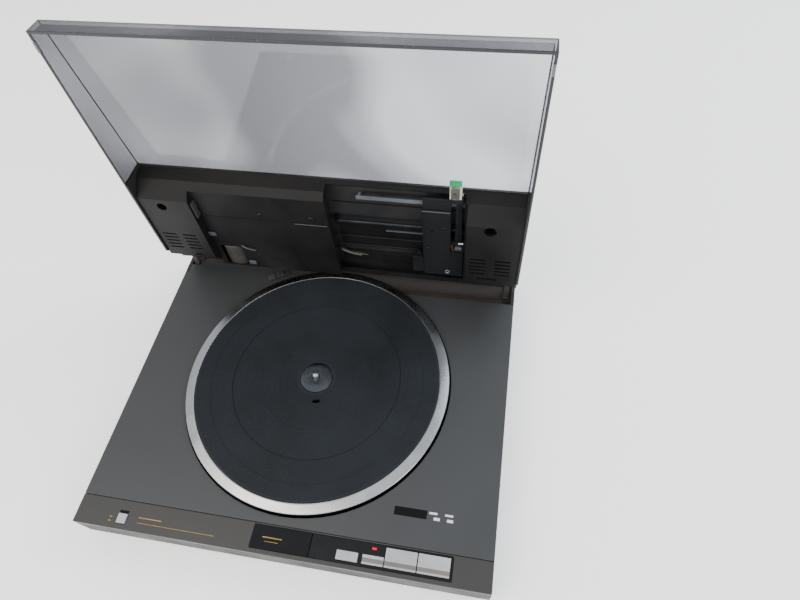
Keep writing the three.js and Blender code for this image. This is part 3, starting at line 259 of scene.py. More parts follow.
def mat_rubber(tree):
    """Ribbed platter rubber: matt blue-black, greyed by dust that lies thicker in some places."""
    dust = noise(tree, 55, 6.0)
    specks = between(tree, noise(tree, 1.1, 1.0), 0, 1, 0.74, 0.8)
    base = mixed(tree, between(tree, dust, 0, 1), srgb("#171b1f"), srgb("#1f242a"))
    return add(tree, "BsdfPrincipled", {
        "Base Color": mixed(tree, specks, base, srgb("#3c4249")),
        "Roughness": between(tree, dust, 0.55, 0.7),
        "Specular IOR Level": 0.25,
        "Normal": bump(tree, noise(tree, 0.3, 2.0), 0.01),
    })


def smoked(clear, deep, haze):
    """Smoked acrylic: see-through, mirror-bright at a glance, clouded by a wiped film, black at its rim, with
    painted reflections in its tint.
    """
    low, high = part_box("lid_cover")
    rim = 1.0 * MM
    wall = 2.8 * MM
    blur = 0.1 * MM

    def paint(tree):
        at = add(tree, "SeparateXYZ", {"Vector": place(tree)}).outputs
        film = noise(tree, 210, 1.2, warp=0.6)
        # Painted reflections: the tint lightens towards the right side and in broad patches that follow the
        # film's noise.
        across = between(tree, at["X"], 0.1, 0.6, low.x, high.x)
        clean = joined(tree, "ADD", between(tree, film, 0, 0.45, 0.42, 0.6), across)
        tint = mixed(tree, clean, srgb(deep), srgb(clear))
        front = between(tree, at["Z"], 0, 0.8, high.z - wall - 2 * blur, high.z - wall + 2 * blur)
        body = add(tree, "MixShader", {
            "Fac": between(tree, film, *haze),
            1: add(tree, "BsdfTransparent", {"Color": mixed(tree, front, tint, srgb(deep))}).outputs[0],
            2: add(tree, "BsdfTranslucent", {"Color": srgb("#c9cacd")}).outputs[0],
        })
        shine = add(tree, "BsdfGlossy", {
            "Color": srgb("#f2f3f5"),
            "Roughness": between(tree, film, 0.02, 0.16),
        })
        sheet = add(tree, "MixShader", {
            "Fac": mirror_share(tree, 0.05), 1: body.outputs[0], 2: shine.outputs[0],
        })
        return add(tree, "MixShader", {
            "Fac": between(tree, at["Y"], 1, 0, low.y + rim - blur, low.y + rim + blur),
            1: sheet.outputs[0],
            2: acrylic_edge(tree).outputs[0],
        })
    return paint


def mirror_share(tree, straight_on):
    """How much of the light a smooth sheet mirrors: little straight on, all of it at a glance."""
    facing = add(tree, "LayerWeight", {"Blend": 0.5}).outputs["Facing"]
    return joined(tree, "MULTIPLY_ADD", joined(tree, "POWER", facing, 5.0), 1 - straight_on, straight_on)


def acrylic_edge(tree):
    """The sawn edge of the sheet, where light has crossed so much tint that it is near black."""
    return add(tree, "BsdfPrincipled", {
        "Base Color": srgb("#202226"),
        "Roughness": between(tree, noise(tree, 3, 3.0), 0.15, 0.3),
    })


def lit_lens(tree):
    """A red indicator lens with its lamp on: it glows, brighter in the middle of its moulded prisms."""
    prisms = noise(tree, 0.8, 0.0)
    return add(tree, "BsdfPrincipled", {
        "Base Color": srgb("#b00a18"),
        "Roughness": 0.2,
        "Emission Color": srgb("#ff0a1c"),
        "Emission Strength": between(tree, prisms, 0.3, 0.7),
    })


def translucent_amber(tree):
    """Moulded translucent nylon: light sinks in a little, so it looks warm and soft."""
    return add(tree, "BsdfPrincipled", {
        "Base Color": mixed(tree, noise(tree, 4, 2.0), srgb("#8a6a44"), srgb("#b08c60")),
        "Roughness": 0.35,
        "Subsurface Weight": 0.15,
        "Subsurface Scale": 0.001,
    })


def laminate(tree):
    """Circuit board: green lacquer over copper tracks that show as a faint, squared pattern."""
    tracks = add(tree, "TexVoronoi", {"Vector": place(tree), "Scale": 1 / (2.4 * MM)},
                 feature="F1", distance="CHEBYCHEV").outputs["Distance"]
    return add(tree, "BsdfPrincipled", {
        "Base Color": mixed(tree, between(tree, tracks, 0, 1), srgb("#24502f"), srgb("#3a7448")),
        "Roughness": 0.35,
        "Normal": bump(tree, tracks, 0.03),
    })


# The painted warm reflection in the trough starts this far in front of the hinge posts.
WARM_REFLECTION_REACH = 16 * MM
TROUGH = (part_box("hinge_post_left")[0].y - WARM_REFLECTION_REACH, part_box("hinge_post_left")[0].y)

LOOK = {
    name: material(name, paint) for name, paint in {
        # Sheet-metal enamel: neutral dark grey with a fine sparkle.
        "satin_metallic_paint_on_zinc": metallic_paint("#343637", "#47494b"),
        # The same enamel on the moulded strip, a shade warmer and darker.
        "satin_metallic_paint_on_strip": metallic_paint("#303130", "#41413f"),
        # Etched black plastic: dull, with dust in its grain.
        "grained_black_abs": moulded("#1b1c1e", "#272728"),
        "grained_cabinet_abs": cabinet_plastic,
        # Finer etching that hardly mirrors, so the lid's underside stays dark.
        "fine_black_abs": moulded(
            "#141415", "#1d1c1c", 0.25, 0.01, (0.4, 0.55), {"Specular IOR Level": 0.16},
        ),
        # Glass-like black, clear reflections.
        "polished_black_acrylic": gloss("#08090b"),
        # The duller black that surrounds the keys.
        "satin_black_insert": gloss("#0b0c0f", 0.22, 0.3),
        # Silver paint on smooth plastic: bright and even, no clear reflection.
        "silver_painted_abs": moulded("#9fa2a6", "#b3b6b9", 0.2, 0.006, (0.3, 0.42), {"Metallic": 0.3}),
        # Warm grey in the sunk bands, darker than the caps: painted shade of the groove across each key.
        "sunk_band_shade_grey_abs": moulded("#65625f", "#75726e", 0.2, 0.006, (0.35, 0.48), {"Metallic": 0.2}),
        # Bare turned rim: bright patches that fan out where the light meets the rings.
        "lathe_turned_aluminium": turned_metal("#a6a8ab", PLATTER_AXIS, 0.35, (0.22, 0.34), 0.003, 0.6),
        # Darker turned cone with a sharper fan.
        "lathe_turned_gunmetal": turned_metal("#54595f", PLATTER_AXIS, 0.3, (0.16, 0.26), 0.003, 0.85),
        # Ground shafts and pins: light grey, smeared along their length.
        "ground_steel": satin_metal("#8f949a", "#b4b8bd"),
        # Plated screws and small weights: brighter, slightly warm.
        "nickel_plated_steel": satin_metal("#7e8388", "#a6abb0", (0.22, 0.38), (1.0, 0.1, 1.0)),
        # Dull plated can that has gone brown with age.
        "zinc_plated_motor_can": satin_metal("#413e3b", "#53504c", (0.4, 0.55), (0.1, 1.0, 1.0), 0.5),
        # Chemically blackened steel: dark, with a soft sheen.
        "blackened_steel": satin_metal("#1f2226", "#30343a", (0.34, 0.5), (0.1, 1.0, 1.0), 0.7),
        # Black enamel on the carriage's plate, a little blue.
        "painted_steel_carriage": metallic_paint("#141518", "#1f2124"),
        "ribbed_platter_rubber": mat_rubber,
        # Plain black rubber: matt and rough.
        "moulded_rubber": moulded("#17181a", "#26272a", 0.6, 0.03, (0.7, 0.85)),
        # Pressed magnet powder: matt dark grey.
        "sintered_ferrite": moulded("#2b2b2d", "#3d3c3e", 0.3, 0.02, (0.6, 0.75)),
        # Lacquered windings: warm and shiny.
        "enamelled_copper_wire": satin_metal("#8f4a24", "#c27a42", (0.25, 0.4), (1.0, 1.0, 1.0)),
        "lacquered_laminate": laminate,
        # Tinted from deep to clear in broad patches: painted reflections.
        "smoked_acrylic_sheet": smoked("#f0f0f2", "#7f8084", (0.04, 0.14)),
        "polished_acrylic_edge": acrylic_edge,
        # Smooth cream plastic, softly shiny.
        "cream_moulded_plastic": moulded("#dccfa8", "#efe4c2", 0.2, 0.006, (0.3, 0.42)),
        # Smooth bright green plastic, softly shiny.
        "green_moulded_plastic": moulded("#04965c", "#0aab6c", 0.2, 0.006, (0.3, 0.42)),
        "translucent_amber_nylon": translucent_amber,
        "lit_red_lens": lit_lens,
        # Blue-grey paint on folded steel, which catches the light along its edges; it also colours the
        # lighter strips that stand for painted highlights.
        "slate_painted_steel": moulded("#565c63", "#6d747c", 0.3, 0.006, (0.38, 0.5), {"Metallic": 0.3}),
        # Ochre sleeve cut from foam tape: matt and open-pored.
        "ochre_foam_tape": moulded("#4e4938", "#665f48", 0.8, 0.05, (0.75, 0.9)),
        # Dyed nylon clips, grey-blue and slightly waxy.
        "pale_blue_nylon": moulded("#3d424b", "#505762", 0.3, 0.01, (0.4, 0.5)),
        # Soft bumpers: mid grey with a faint sheen.
        "grey_soft_vinyl": moulded("#5d5e62", "#707176", 0.3, 0.01, (0.4, 0.55)),
        # Self-coloured nylon of the hinge posts and clamps: dark and waxy.
        "dark_grey_nylon": moulded("#2c2c2d", "#403f3e", 0.3, 0.01, (0.45, 0.6)),
        # Braided cord: matt, near black.
        "braided_cord": moulded("#171513", "#211e1a", 0.5, 0.05, (0.75, 0.9)),
        # Stamped foil that glints gold.
        "gilt_foil": satin_metal("#8c7440", "#b39655", (0.3, 0.4), (1.0, 1.0, 1.0), 0.8),
        # Screen-printed black and white: flat colour with no shine of its own.
        "printed_black_ink": moulded(
            "#030303", "#070708", 0.3, 0.002, (0.5, 0.6), {"Specular IOR Level": 0.15},
        ),
        "printed_white_ink": moulded("#cfd2d4", "#e2e4e6", 0.3, 0.002, (0.5, 0.6)),
        # Black plastic coloured brown and dull: painted warm light on the trough's lips, as if lit from
        # behind.
        "painted_warm_light_brown_abs": moulded("#1f1812", "#33281e", 0.5, 0.02, (0.6, 0.75)),
        # Orange insulation, smooth.
        "orange_wire_sleeve": moulded("#6b3a1c", "#844a26", 0.3, 0.01, (0.4, 0.5)),
    }.items()
}

# ---------------------------------------------------------------- shape helpers


def block(shape, x0, x1, y0, y1, z0, z1):
    """Adds a box to a shape."""
    corners = [shape.verts.new((x, y, z)) for x in (x0, x1) for y in (y0, y1) for z in (z0, z1)]
    for face in ((0, 1, 3, 2), (4, 6, 7, 5), (0, 4, 5, 1), (2, 3, 7, 6), (0, 2, 6, 4), (1, 5, 7, 3)):
        shape.faces.new([corners[i] for i in face])


# Where a point drawn as (across, up, along an axis) goes in x, y and z.
TURN = {"x": (2, 0, 1), "y": (1, 2, 0), "z": (0, 1, 2)}


def prism(shape, outline, axis, low, high):
    """Adds an outline pushed along an axis. Its two coordinates are (y, z), (z, x) or (x, y)."""
    ends = []
    for depth in (low, high):
        points = [(u, v, depth) for u, v in outline]
        ends.append([shape.verts.new([p[i] for i in TURN[axis]]) for p in points])
    shape.faces.new(reversed(ends[0]))
    shape.faces.new(ends[1])
    count = len(outline)
    for i in range(count):
        j = (i + 1) % count
        shape.faces.new((ends[0][i], ends[0][j], ends[1][j], ends[1][i]))


def turned(shape, profile, axis, at, segments=48):
    """Adds a closed profile of (radius, height) points turned about an axis through a point."""
    rings = []
    for radius, height in profile:
        ring = []
        for i in range(segments):
            angle = 2 * math.pi * i / segments
            p = (radius * math.cos(angle), radius * math.sin(angle), height)
            ring.append(shape.verts.new([p[k] + at[n] for n, k in enumerate(TURN[axis])]))
        rings.append(ring)
    for a, b in zip(rings, rings[1:] + rings[:1]):
        for i in range(segments):
            j = (i + 1) % segments
            shape.faces.new((a[i], a[j], b[j], b[i]))


def disc(shape, profile, axis, at, segments=48):
    """Adds a profile that starts and ends on the axis, turned about it but for a tiny pinhole."""
    pinhole = 0.02
    turned(shape, [(max(r, pinhole), h) for r, h in profile], axis, at, segments)


def drawn(name, build, where=Matrix(), smooth=None):
    """An object drawn by build(shape), shaded smooth across edges that are flatter than that angle."""
    shape = bmesh.new()
    build(shape)
    bmesh.ops.transform(shape, matrix=where, verts=shape.verts)
    bmesh.ops.recalc_face_normals(shape, faces=shape.faces)
    if smooth:
        for edge in shape.edges:
            edge.smooth = len(edge.link_faces) == 2 and edge.calc_face_angle(0) < math.radians(smooth)
        for face in shape.faces:
            face.smooth = True
    mesh = bpy.data.meshes.new(name)
    shape.to_mesh(mesh)
    shape.free()
    made = bpy.data.objects.new(name, mesh)
    bpy.context.scene.collection.objects.link(made)
    return made


def piece(name, build, where, body, look, edge=0.3, replaces=(), smooth=30, segments=2):
    """Makes a named piece from build(shape), drawn in millimetres, that rides on a CAD body."""
    made = drawn(name, build, where, smooth)
    made.data.materials.append(LOOK[look])
    if edge:
        soften(made, edge, segments, smooth)
    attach(made, body)
    if replaces:
        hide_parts(*replaces)
    return made


def soften(thing, width, segments=2, angle=30):
    """Rounds the edges of a piece by that many millimetres."""
    bevel = thing.modifiers.new("edges", "BEVEL")
    bevel.width = width * MM
    bevel.segments = segments
    bevel.limit_method = "ANGLE"
    bevel.angle_limit = math.radians(angle)
    bevel.harden_normals = True
    bevel.miter_outer = "MITER_ARC"


def carve(thing, build, where):
    """Cuts a shape drawn by build(shape) out of a piece for good."""
    cutter = drawn("cutter", build, where)
    step = thing.modifiers.new("cut", "BOOLEAN")
    step.object = cutter
    step.operation = "DIFFERENCE"
    step.solver = "EXACT"
    with bpy.context.temp_override(object=thing, active_object=thing):
        bpy.ops.object.modifier_apply(modifier=step.name)
    bpy.data.objects.remove(cutter)


# ---------------------------------------------------------------- CAD pieces that keep their shape

# Corners of a faceted solid that are closer than this are one corner.
WELD_GAP = 0.01

# For each look, the nodes it goes on and how far their edges are rounded, in millimetres.
KEPT = {
    "grained_cabinet_abs": {"cabinet": 0.8},
    "grained_black_abs": {
        "bottom_cover": 0.4, "arm_housing": 0.7, "power_switch": 0.3, "mains_cord_gland": 0.3,
        "signal_cord_gland": 0.3,
    },
    "fine_black_abs": {"arm_chassis": 0.35, "arm_base": 0.3},
    "satin_metallic_paint_on_zinc": {"top_plate": 0.5},
    "satin_metallic_paint_on_strip": {"control_strip": 0.7},
    "polished_black_acrylic": {"window_insert": 0.3},
    "satin_black_insert": {"key_bezel": 0.25},
    "lit_red_lens": {"repeat_led": 0.2},
    "lacquered_laminate": {"key_board": 0, "motor_board": 0, "control_board": 0, "lid_board": 0},
    "ground_steel": {"platter_bearing": 0.3, "hinge_pin_left": 0, "hinge_pin_right": 0, "arm_pivot_pin": 0},
    "nickel_plated_steel": {
        "power_transformer": 0.4, "motor_worm": 0, "counterweight": 0.2, "stylus_guard": 0.1,
        "cartridge_screw": 0.1,
    },
    "enamelled_copper_wire": {"motor_stator": 0.4},
    "sintered_ferrite": {"rotor_magnet": 0.4},
    "slate_painted_steel": {"guide_bar": 0.2},
    "blackened_steel": {"cord_clamp": 0.3, "tonearm": 0.4, "guide_rod": 0},
    "painted_steel_carriage": {"carriage": 0.3},
    "moulded_rubber": {
        "foot_front_left": 0.4, "foot_front_right": 0.4, "foot_rear_left": 0.4, "foot_rear_right": 0.4,
    },
    "cream_moulded_plastic": {"drive_gear": 0.15, "cord_pulley": 0.2, "cartridge_body": 0.4},
    "green_moulded_plastic": {"cartridge_label": 0.15},
    "translucent_amber_nylon": {"stylus": 0.2},
    "braided_cord": {"drive_cord": 0.2},
    "smoked_acrylic_sheet": {"lid_cover": 1.1},
    "grey_soft_vinyl": {"lid_bumper_left": 0.2, "lid_bumper_right": 0.2},
    "dark_grey_nylon": {"hinge_post_left": 0.3, "hinge_post_right": 0.3, "lead_clamp": 0.4},
}


def keep(node, look, width):
    """A CAD piece as it is, with its edges rounded and a real finish."""
    made = NODES[node]
    made.data.materials.clear()
    made.data.materials.append(LOOK[look])
    if not width:
        return
    weld = made.modifiers.new("weld", "WELD")
    weld.merge_threshold = WELD_GAP * MM
    soften(made, width)


def kept_pieces():
    """Finishes every CAD piece that keeps its shape. The cover's rounded edges are as dark as its rim."""
    for look, nodes in KEPT.items():
        for node, width in nodes.items():
            keep(node, look, width)
    cover = NODES["lid_cover"]
    cover.data.materials.append(LOOK["polished_acrylic_edge"])
    cover.modifiers["edges"].material = 1


# ---------------------------------------------------------------- platter

RIM_BAND = 9
RIM_DROP = 2.2
RIM_LAND = 0.5
SKIRT = 6
HUB_RADIUS = 12
HUB_DEPTH = 13
WEB = 6
CLEARANCE = 0.3
MAT_RIB = 1.7
MAT_RIB_DEPTH = 0.35
# Broader grooves in the mat, by radius, with their depth.
MAT_MARKS = {41: 0.5, 62: 0.5, 97: 0.9, 122: 0.6}
SENSOR = {"angle": -77, "radius": 29.5, "length": 9, "width": 4}
CUT_THROUGH = 30


def stack(node):
    """A turned CAD piece's radius, the middle it turns about, and its bottom and top."""
    _, radius, near, far, bottom, top = extent(node)
    return radius, (0, (near + far) / 2, 0), bottom, top


def platter():
    """The cast platter: a dished top for the mat, a bright chamfered rim and a straight skirt."""
    radius, middle, bottom, top = stack("platter")
    mat_radius, _, mat_bottom, _ = stack("platter_mat")
    dish, floor = mat_radius + CLEARANCE, mat_bottom - CLEARANCE
    bore = stack("spindle")[0] + CLEARANCE
    wall = radius - SKIRT
    slope = radius - RIM_BAND
    made = piece("platter_casting", lambda shape: turned(shape, [
        (bore, floor - HUB_DEPTH), (HUB_RADIUS, floor - HUB_DEPTH), (HUB_RADIUS, floor - WEB),
        (wall - 2, floor - WEB), (wall, floor - WEB - 2), (wall, bottom), (radius, bottom),
        (radius, top - RIM_DROP - RIM_LAND), (radius - RIM_LAND, top - RIM_DROP), (slope, top - 0.1),
        (slope - 0.6, top), (dish + 0.3, top), (dish, top - 0.3), (dish, floor), (bore, floor),
    ], "z", middle, 256), ON_DECK, "turning_platter", "lathe_turned_aluminium", 0, ["platter"])
    carve(made, *sensor_hole(middle))


def sensor_hole(middle):
    """The oblong hole through the platter and its mat for the record sensor, as a shape and its place."""
    turn = math.radians(SENSOR["angle"])
    half, end = SENSOR["length"] / 2 - SENSOR["width"] / 2, SENSOR["width"] / 2
    points = []
    for side in (1, -1):
        for i in range(13):
            angle = math.radians(-90 + i * 15) + (0 if side > 0 else math.pi)
            points.append((side * half + end * math.cos(angle), end * math.sin(angle)))
    x, y = SENSOR["radius"] * math.cos(turn), middle[1] + SENSOR["radius"] * math.sin(turn)
    spin = Matrix.Translation((x, y, 0)) @ Matrix.Rotation(turn + math.pi / 2, 4, "Z")
    return lambda shape: prism(shape, points, "z", -CUT_THROUGH, CUT_THROUGH), ON_DECK @ spin


def mat_profile(inner, outer, bottom, top):
    """Fine concentric ribs, broken by broader grooves at the usual record sizes."""
    points = [(inner, bottom), (outer, bottom), (outer, top - 0.5), (outer - 0.5, top)]
    margin = 3
    radius = outer - margin
    while radius > inner + margin:
        marks = [deep for mark, deep in MAT_MARKS.items() if abs(radius - mark) < MAT_RIB / 2]
        depth = max(marks, default=MAT_RIB_DEPTH)
        half = MAT_RIB * (0.45 if marks else 0.3)
        points += [(radius + half, top), (radius + half * 0.5, top - depth)]
        points += [(radius - half * 0.5, top - depth), (radius - half, top)]
        radius -= MAT_RIB
    points += [(inner + 0.4, top), (inner, top - 0.4)]
    return points


def platter_mat():
    """The rubber mat, ribbed in rings, with the sensor's hole."""
    radius, middle, bottom, top = stack("platter_mat")
    inner = stack("hub_cap")[0] + CLEARANCE
    made = piece(
        "ribbed_mat", lambda shape: turned(shape, mat_profile(inner, radius, bottom, top), "z", middle, 200),
        ON_DECK, "turning_platter", "ribbed_platter_rubber", 0, ["platter_mat"], smooth=25,
    )
    carve(made, *sensor_hole(middle))


def hub_cap():
    """The low turned cone round the spindle."""
    radius, middle, bottom, top = stack("hub_cap")
    bore = stack("spindle")[0] + 0.2
    rim = top - 2.4
    piece("hub_cone", lambda shape: turned(shape, [
        (bore, bottom), (radius, bottom), (radius, rim - 0.4), (radius - 0.3, rim), (bore + 0.6, top),
        (bore, top - 0.2),
    ], "z", middle, 128), ON_DECK, "turning_platter", "lathe_turned_gunmetal", 0, ["hub_cap"])


def spindle():
    """The record's spindle, with a rounded tip."""
    radius, middle, bottom, top = stack("spindle")
    tip_height = 3
    tip = []
    for degrees in range(0, 91, 10):
        angle = math.radians(degrees)
        tip.append((radius * math.cos(angle), top - tip_height + tip_height * math.sin(angle)))
    piece("record_spindle", lambda shape: disc(shape, [(0, bottom), (radius, bottom), *tip], "z", middle, 64),
          ON_DECK, "turning_platter", "ground_steel", 0, ["spindle"])


# ---------------------------------------------------------------- keys and front strip

# The sunk band of a key starts and ends this far behind its front edge.
BAND = (1.9, 5.9)
BAND_DEPTH = 0.5
STEM = (6, 5)


def key_cap(node, body, banded):
    """A key's cap, with a sunk grey band along its front where it is banded, and its stem below."""
    x0, x1, y0, y1, bottom, top = extent(node)
    under = extent("top_plate")[4] - CLEARANCE
    near, far = y0 + BAND[0], y0 + BAND[1]
    sunk = top - BAND_DEPTH
    outline = [(y0, under), (y1, under), (y1, top)]
    if banded:
        outline += [(far + 0.3, top), (far, sunk), (near, sunk), (near - 0.3, top)]
    outline.append((y0, top))
    x, y = (x0 + x1) / 2, (y0 + y1) / 2
    half_width, half_depth = STEM[0] / 2, STEM[1] / 2

    def build(shape):
        prism(shape, outline, "x", x0, x1)
        block(shape, x - half_width, x + half_width, y - half_depth, y + half_depth, bottom, under - 0.02)
    piece(node + "_cap", build, ON_DECK, body, "silver_painted_abs", 0.3, [node])
    if banded:
        # The band's darker grey is painted shade in the groove.
        piece(node + "_band", lambda shape: block(
            shape, x0 + 0.15, x1 - 0.15, near + 0.1, far - 0.1, sunk - 0.2, sunk + 0.06,
        ), ON_DECK, body, "sunk_band_shade_grey_abs", 0.05)


def keys():
    """The four keys and the rocker at the other end of the strip."""
    for node, body, banded in (
        ("power_button", "power_key", False), ("repeat_button", "repeat_key", False),
        ("start_button", "start_key", True), ("stop_button", "stop_key", True),
        ("cue_rocker", "cue_key", True),
    ):
        key_cap(node, body, banded)


# Plain flat marks on the deck: look and rectangles as (x0, x1, y0, y1).
MARKS = {
    "data_panel": ("printed_black_ink", [(112.5, 145.5, 57, 65.5)]),
    "data_boxes": ("printed_white_ink", [
        (147.7, 155.8, 62.6, 64.6), (163.5, 171.5, 62.6, 64.6),
        (152.7, 158.7, 57.2, 60), (166, 172, 57.2, 60),
    ]),
    "switch_mark": ("gilt_foil", [(-177.4, -174.6, 10.2, 11.2), (-177.4, -174.6, 6.3, 7.3)]),
    "gilt_rule": ("gilt_foil", [(-146, -121, 13.4, 14.2), (-146, -62, 8.4, 8.8)]),
    "window_rule": ("gilt_foil", [(-13, 7, 15.4, 16.4), (-10, 4, 11.8, 12.3)]),
    # A black bar where the power key's recess opens into a slot: painted shade.
    "switch_slot_shade": ("printed_black_ink", [(-168.4, -158.4, 15.9, 18.4)]),
}
INK = 0.05
INK_GAP = 0.005


def plain_marks():
    """Plain blocks and bars that stand where printed words were, and a black bar of painted shade for the
    switch slot.
    """
    for name, (look, marks) in MARKS.items():
        top = extent("window_insert")[5] if name.startswith("window") else 0

        def build(shape, marks=marks, top=top):
            for x0, x1, y0, y1 in marks:
                block(shape, x0, x1, y0, y1, top + INK_GAP, top + INK)
        piece(name, build, ON_DECK, "base", look, 0)


LIP_STEP = 19
LIP = {"near": 0.35, "far": 5.5, "high": -0.5, "low": -1.7, "under": -3.2}


def trough_lips():
    """The cabinet's sloping lips behind the deck's rear edges, clear of the platter, brown with painted warm
    light from behind.
    """
    plate_back = extent("top_plate")[3]
    right = extent("hinge_post_right")[0] - 2
    radius, middle, *_ = stack("platter")
    clear = radius + 2

    def beside(y):
        """How far from the platter's middle a piece must start to clear its edge."""
        return math.sqrt(max(0, clear ** 2 - (y - middle[1]) ** 2))

    for name, x0, x1, y in (
        ("trough_lip_right", beside(plate_back - LIP_STEP), right, plate_back - LIP_STEP),
        ("trough_lip_left", -right + 6, -beside(plate_back), plate_back),
    ):
        near, far = y + LIP["near"], y + LIP["far"]
        outline = [(near, LIP["high"]), (far, LIP["low"]), (far, LIP["under"]), (near, LIP["under"])]
        # Their brown is painted warm light on the lips.
        piece(name, lambda shape, o=outline, a=x0, b=x1: prism(shape, o, "x", a, b), ON_DECK, "base",
              "painted_warm_light_brown_abs", 0.2)


# ---------------------------------------------------------------- underside of the lid

# The pan in the housing's underside: its left wall, and its floor as a height with the lid closed.
PAN_LEFT = -152
PAN_FLOOR = 13
# The inner face of the housing's skin, seen through the carriage's window.
SKIN = 36.7


def slab(name, box, body, look, edge):
    """A plain block on the lid, its box given as (x0, x1, y0, y1, z0, z1)."""
    piece(name, lambda shape: block(shape, *box), ON_LID, body, look, edge)


def screw(name, x, y, z, body, radius):
    """A blackened pan-head screw with a cross recess, its head towards smaller heights."""
    height = radius * 0.55
    made = piece(name, lambda shape: disc(shape, [
        (0, z + 0.4), (radius, z + 0.4), (radius, z - height * 0.35), (radius * 0.8, z - height * 0.8),
        (radius * 0.45, z - height), (0, z - height),
    ], "z", (x, y, 0), 32), ON_LID, body, "blackened_steel", 0)
    for a, b in ((radius * 0.55, radius * 0.13), (radius * 0.13, radius * 0.55)):
        carve(made, lambda shape, a=a, b=b: block(
            shape, x - a, x + a, y - b, y + b, z - height - 1, z - height * 0.4,
        ), ON_LID)


def wire(name, points, radius, body, look):
    """A thin lead on the lid, bent through a few points."""
    curve = bpy.data.curves.new(name, "CURVE")
    curve.dimensions = "3D"
    curve.bevel_depth = radius * MM
    curve.bevel_resolution = 4
    curve.use_fill_caps = True
    line = curve.splines.new("NURBS")
    line.points.add(len(points) - 1)
    for spot, point in zip(line.points, points):
        spot.co = (*(ON_LID @ Vector(point)), 1)
    line.use_endpoint_u = True
    line.order_u = 4
    curve.resolution_u = 8
    made = bpy.data.objects.new(name, curve)
    bpy.context.scene.collection.objects.link(made)
    curve.materials.append(LOOK[look])
    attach(made, body)


def pan_details():
    """What lies on the pan left of the carriage's window."""
    left, floor = PAN_LEFT, PAN_FLOOR
    slab("pan_ridge", (left + 0.1, -0.3, 259.4, 260.2, floor - 0.6, floor + 0.2), "lid",
         "fine_black_abs", 0.2)
    # A lighter strip on the ridge's right end: a painted highlight.
    slab("pan_ridge_painted_highlight", (-38, -0.5, 260.3, 261, floor - 0.7, floor + 0.2), "lid",
         "slate_painted_steel", 0.15)
    slab("pan_tab", (left + 0.1, left + 2.4, 235, 258, floor - 7, floor - 0.05), "lid",
         "dark_grey_nylon", 0.4)
    for i, (x, y) in enumerate(((-146.5, 291), (-110, 341))):
        slab(f"lead_clip_{i + 1}", (x - 4.5, x + 4.5, y - 2.8, y + 2.8, floor - 2.2, floor - 0.05), "lid",
             "pale_blue_nylon", 0.5)
    for i, (x, y, radius) in enumerate(((-76.5, 250.4, 2.8), (-17.5, 250.4, 2.8), (-98, 325, 1.6))):
        screw(f"pan_screw_{i + 1}", x, y, floor, "lid", radius)
    # A black bar flush with the pan: painted shade of a slot.
    slab("pan_slot_shade", (-84, -67, 330.4, 331.6, floor - 0.04, floor + 0.3), "lid", "printed_black_ink", 0)
    wire("motor_lead_1", [(-116, 308, 12.8), (-111, 309, 10.2), (-106, 311, 10.6), (-101, 314, 12.7)], 0.5,
         "lid", "braided_cord")
    wire("motor_lead_2", [(-116, 310.5, 12.8), (-111, 312, 10.6), (-105, 315, 11), (-100, 317, 12.7)], 0.5,
         "lid", "slate_painted_steel")


def motor_can():
    """The motor's drawn can, squarer than an ellipse, and its bearing boss."""
    x0, x1, y0, y1, z0, z1 = extent("arm_motor", ON_LID)
    half, flat = (x1 - x0) / 2, (z1 - z0) / 2
    x, z = (x0 + x1) / 2, (z0 + z1) / 2
    corners, squareness = 48, 0.85
    boss_radius, boss_height = 4, 2

    def squared(value):
        return math.copysign(abs(value) ** squareness, value)

    angles = [2 * math.pi * i / corners for i in range(corners)]
    outline = [(z + flat * squared(math.sin(a)), x + half * squared(math.cos(a))) for a in angles]
    piece("motor_can", lambda shape: prism(shape, outline, "y", y0 + 1.5, y1), ON_LID, "lid",
          "zinc_plated_motor_can", 0.9, ["arm_motor"], segments=3)
    piece("motor_boss", lambda shape: disc(shape, [
        (0, y0), (boss_radius, y0), (boss_radius, y0 + boss_height), (0, y0 + boss_height),
    ], "y", (x, 0, z), 32), ON_LID, "lid", "ground_steel", 0.3)


def window_details():
    """Ribs, a black inner plate, a shelf and leads seen through the carriage's window."""
    plate = SKIN - 1.4
    for i, (y, height) in enumerate(((224, 0.6), (243, 0.7))):
        slab(f"skin_rib_{i + 1}", (3, 150, y, y + 1.2, SKIN - height, SKIN), "lid", "fine_black_abs", 0.2)
    slab("inner_plate", (5, 148, 277, 318, plate, SKIN - 0.2), "lid", "fine_black_abs", 0.3)
    slab("inner_shelf", (5, 100, 326, 343, SKIN - 2.5, SKIN - 0.2), "lid", "fine_black_abs", 0.3)
    for i, (x, y) in enumerate(((64, 286), (30, 300))):
        screw(f"plate_screw_{i + 1}", x, y, plate, "lid", 1.5)
    for i, (radius, look, points) in enumerate((
        (0.8, "braided_cord", [(3, 316, 30), (7, 322, 31), (14, 327, 33), (22, 328, 33.5), (32, 330, 33.6)]),
        (0.6, "ochre_foam_tape", [
            (3, 318.5, 30), (8, 325, 31), (15, 330, 33), (24, 331, 33.5), (34, 332, 33.6),
        ]),
        (0.6, "slate_painted_steel", [(3, 321, 30), (9, 328, 31.5), (18, 333, 33), (26, 334, 33.6)]),
    )):
        wire(f"window_lead_{i + 1}", points, radius, "lid", look)
    # A lighter strip along the inner plate's edge: a painted highlight.
    slab("painted_highlight_flange", (60, 103, 284, 285.2, 33.6, plate), "lid", "slate_painted_steel", 0.15)


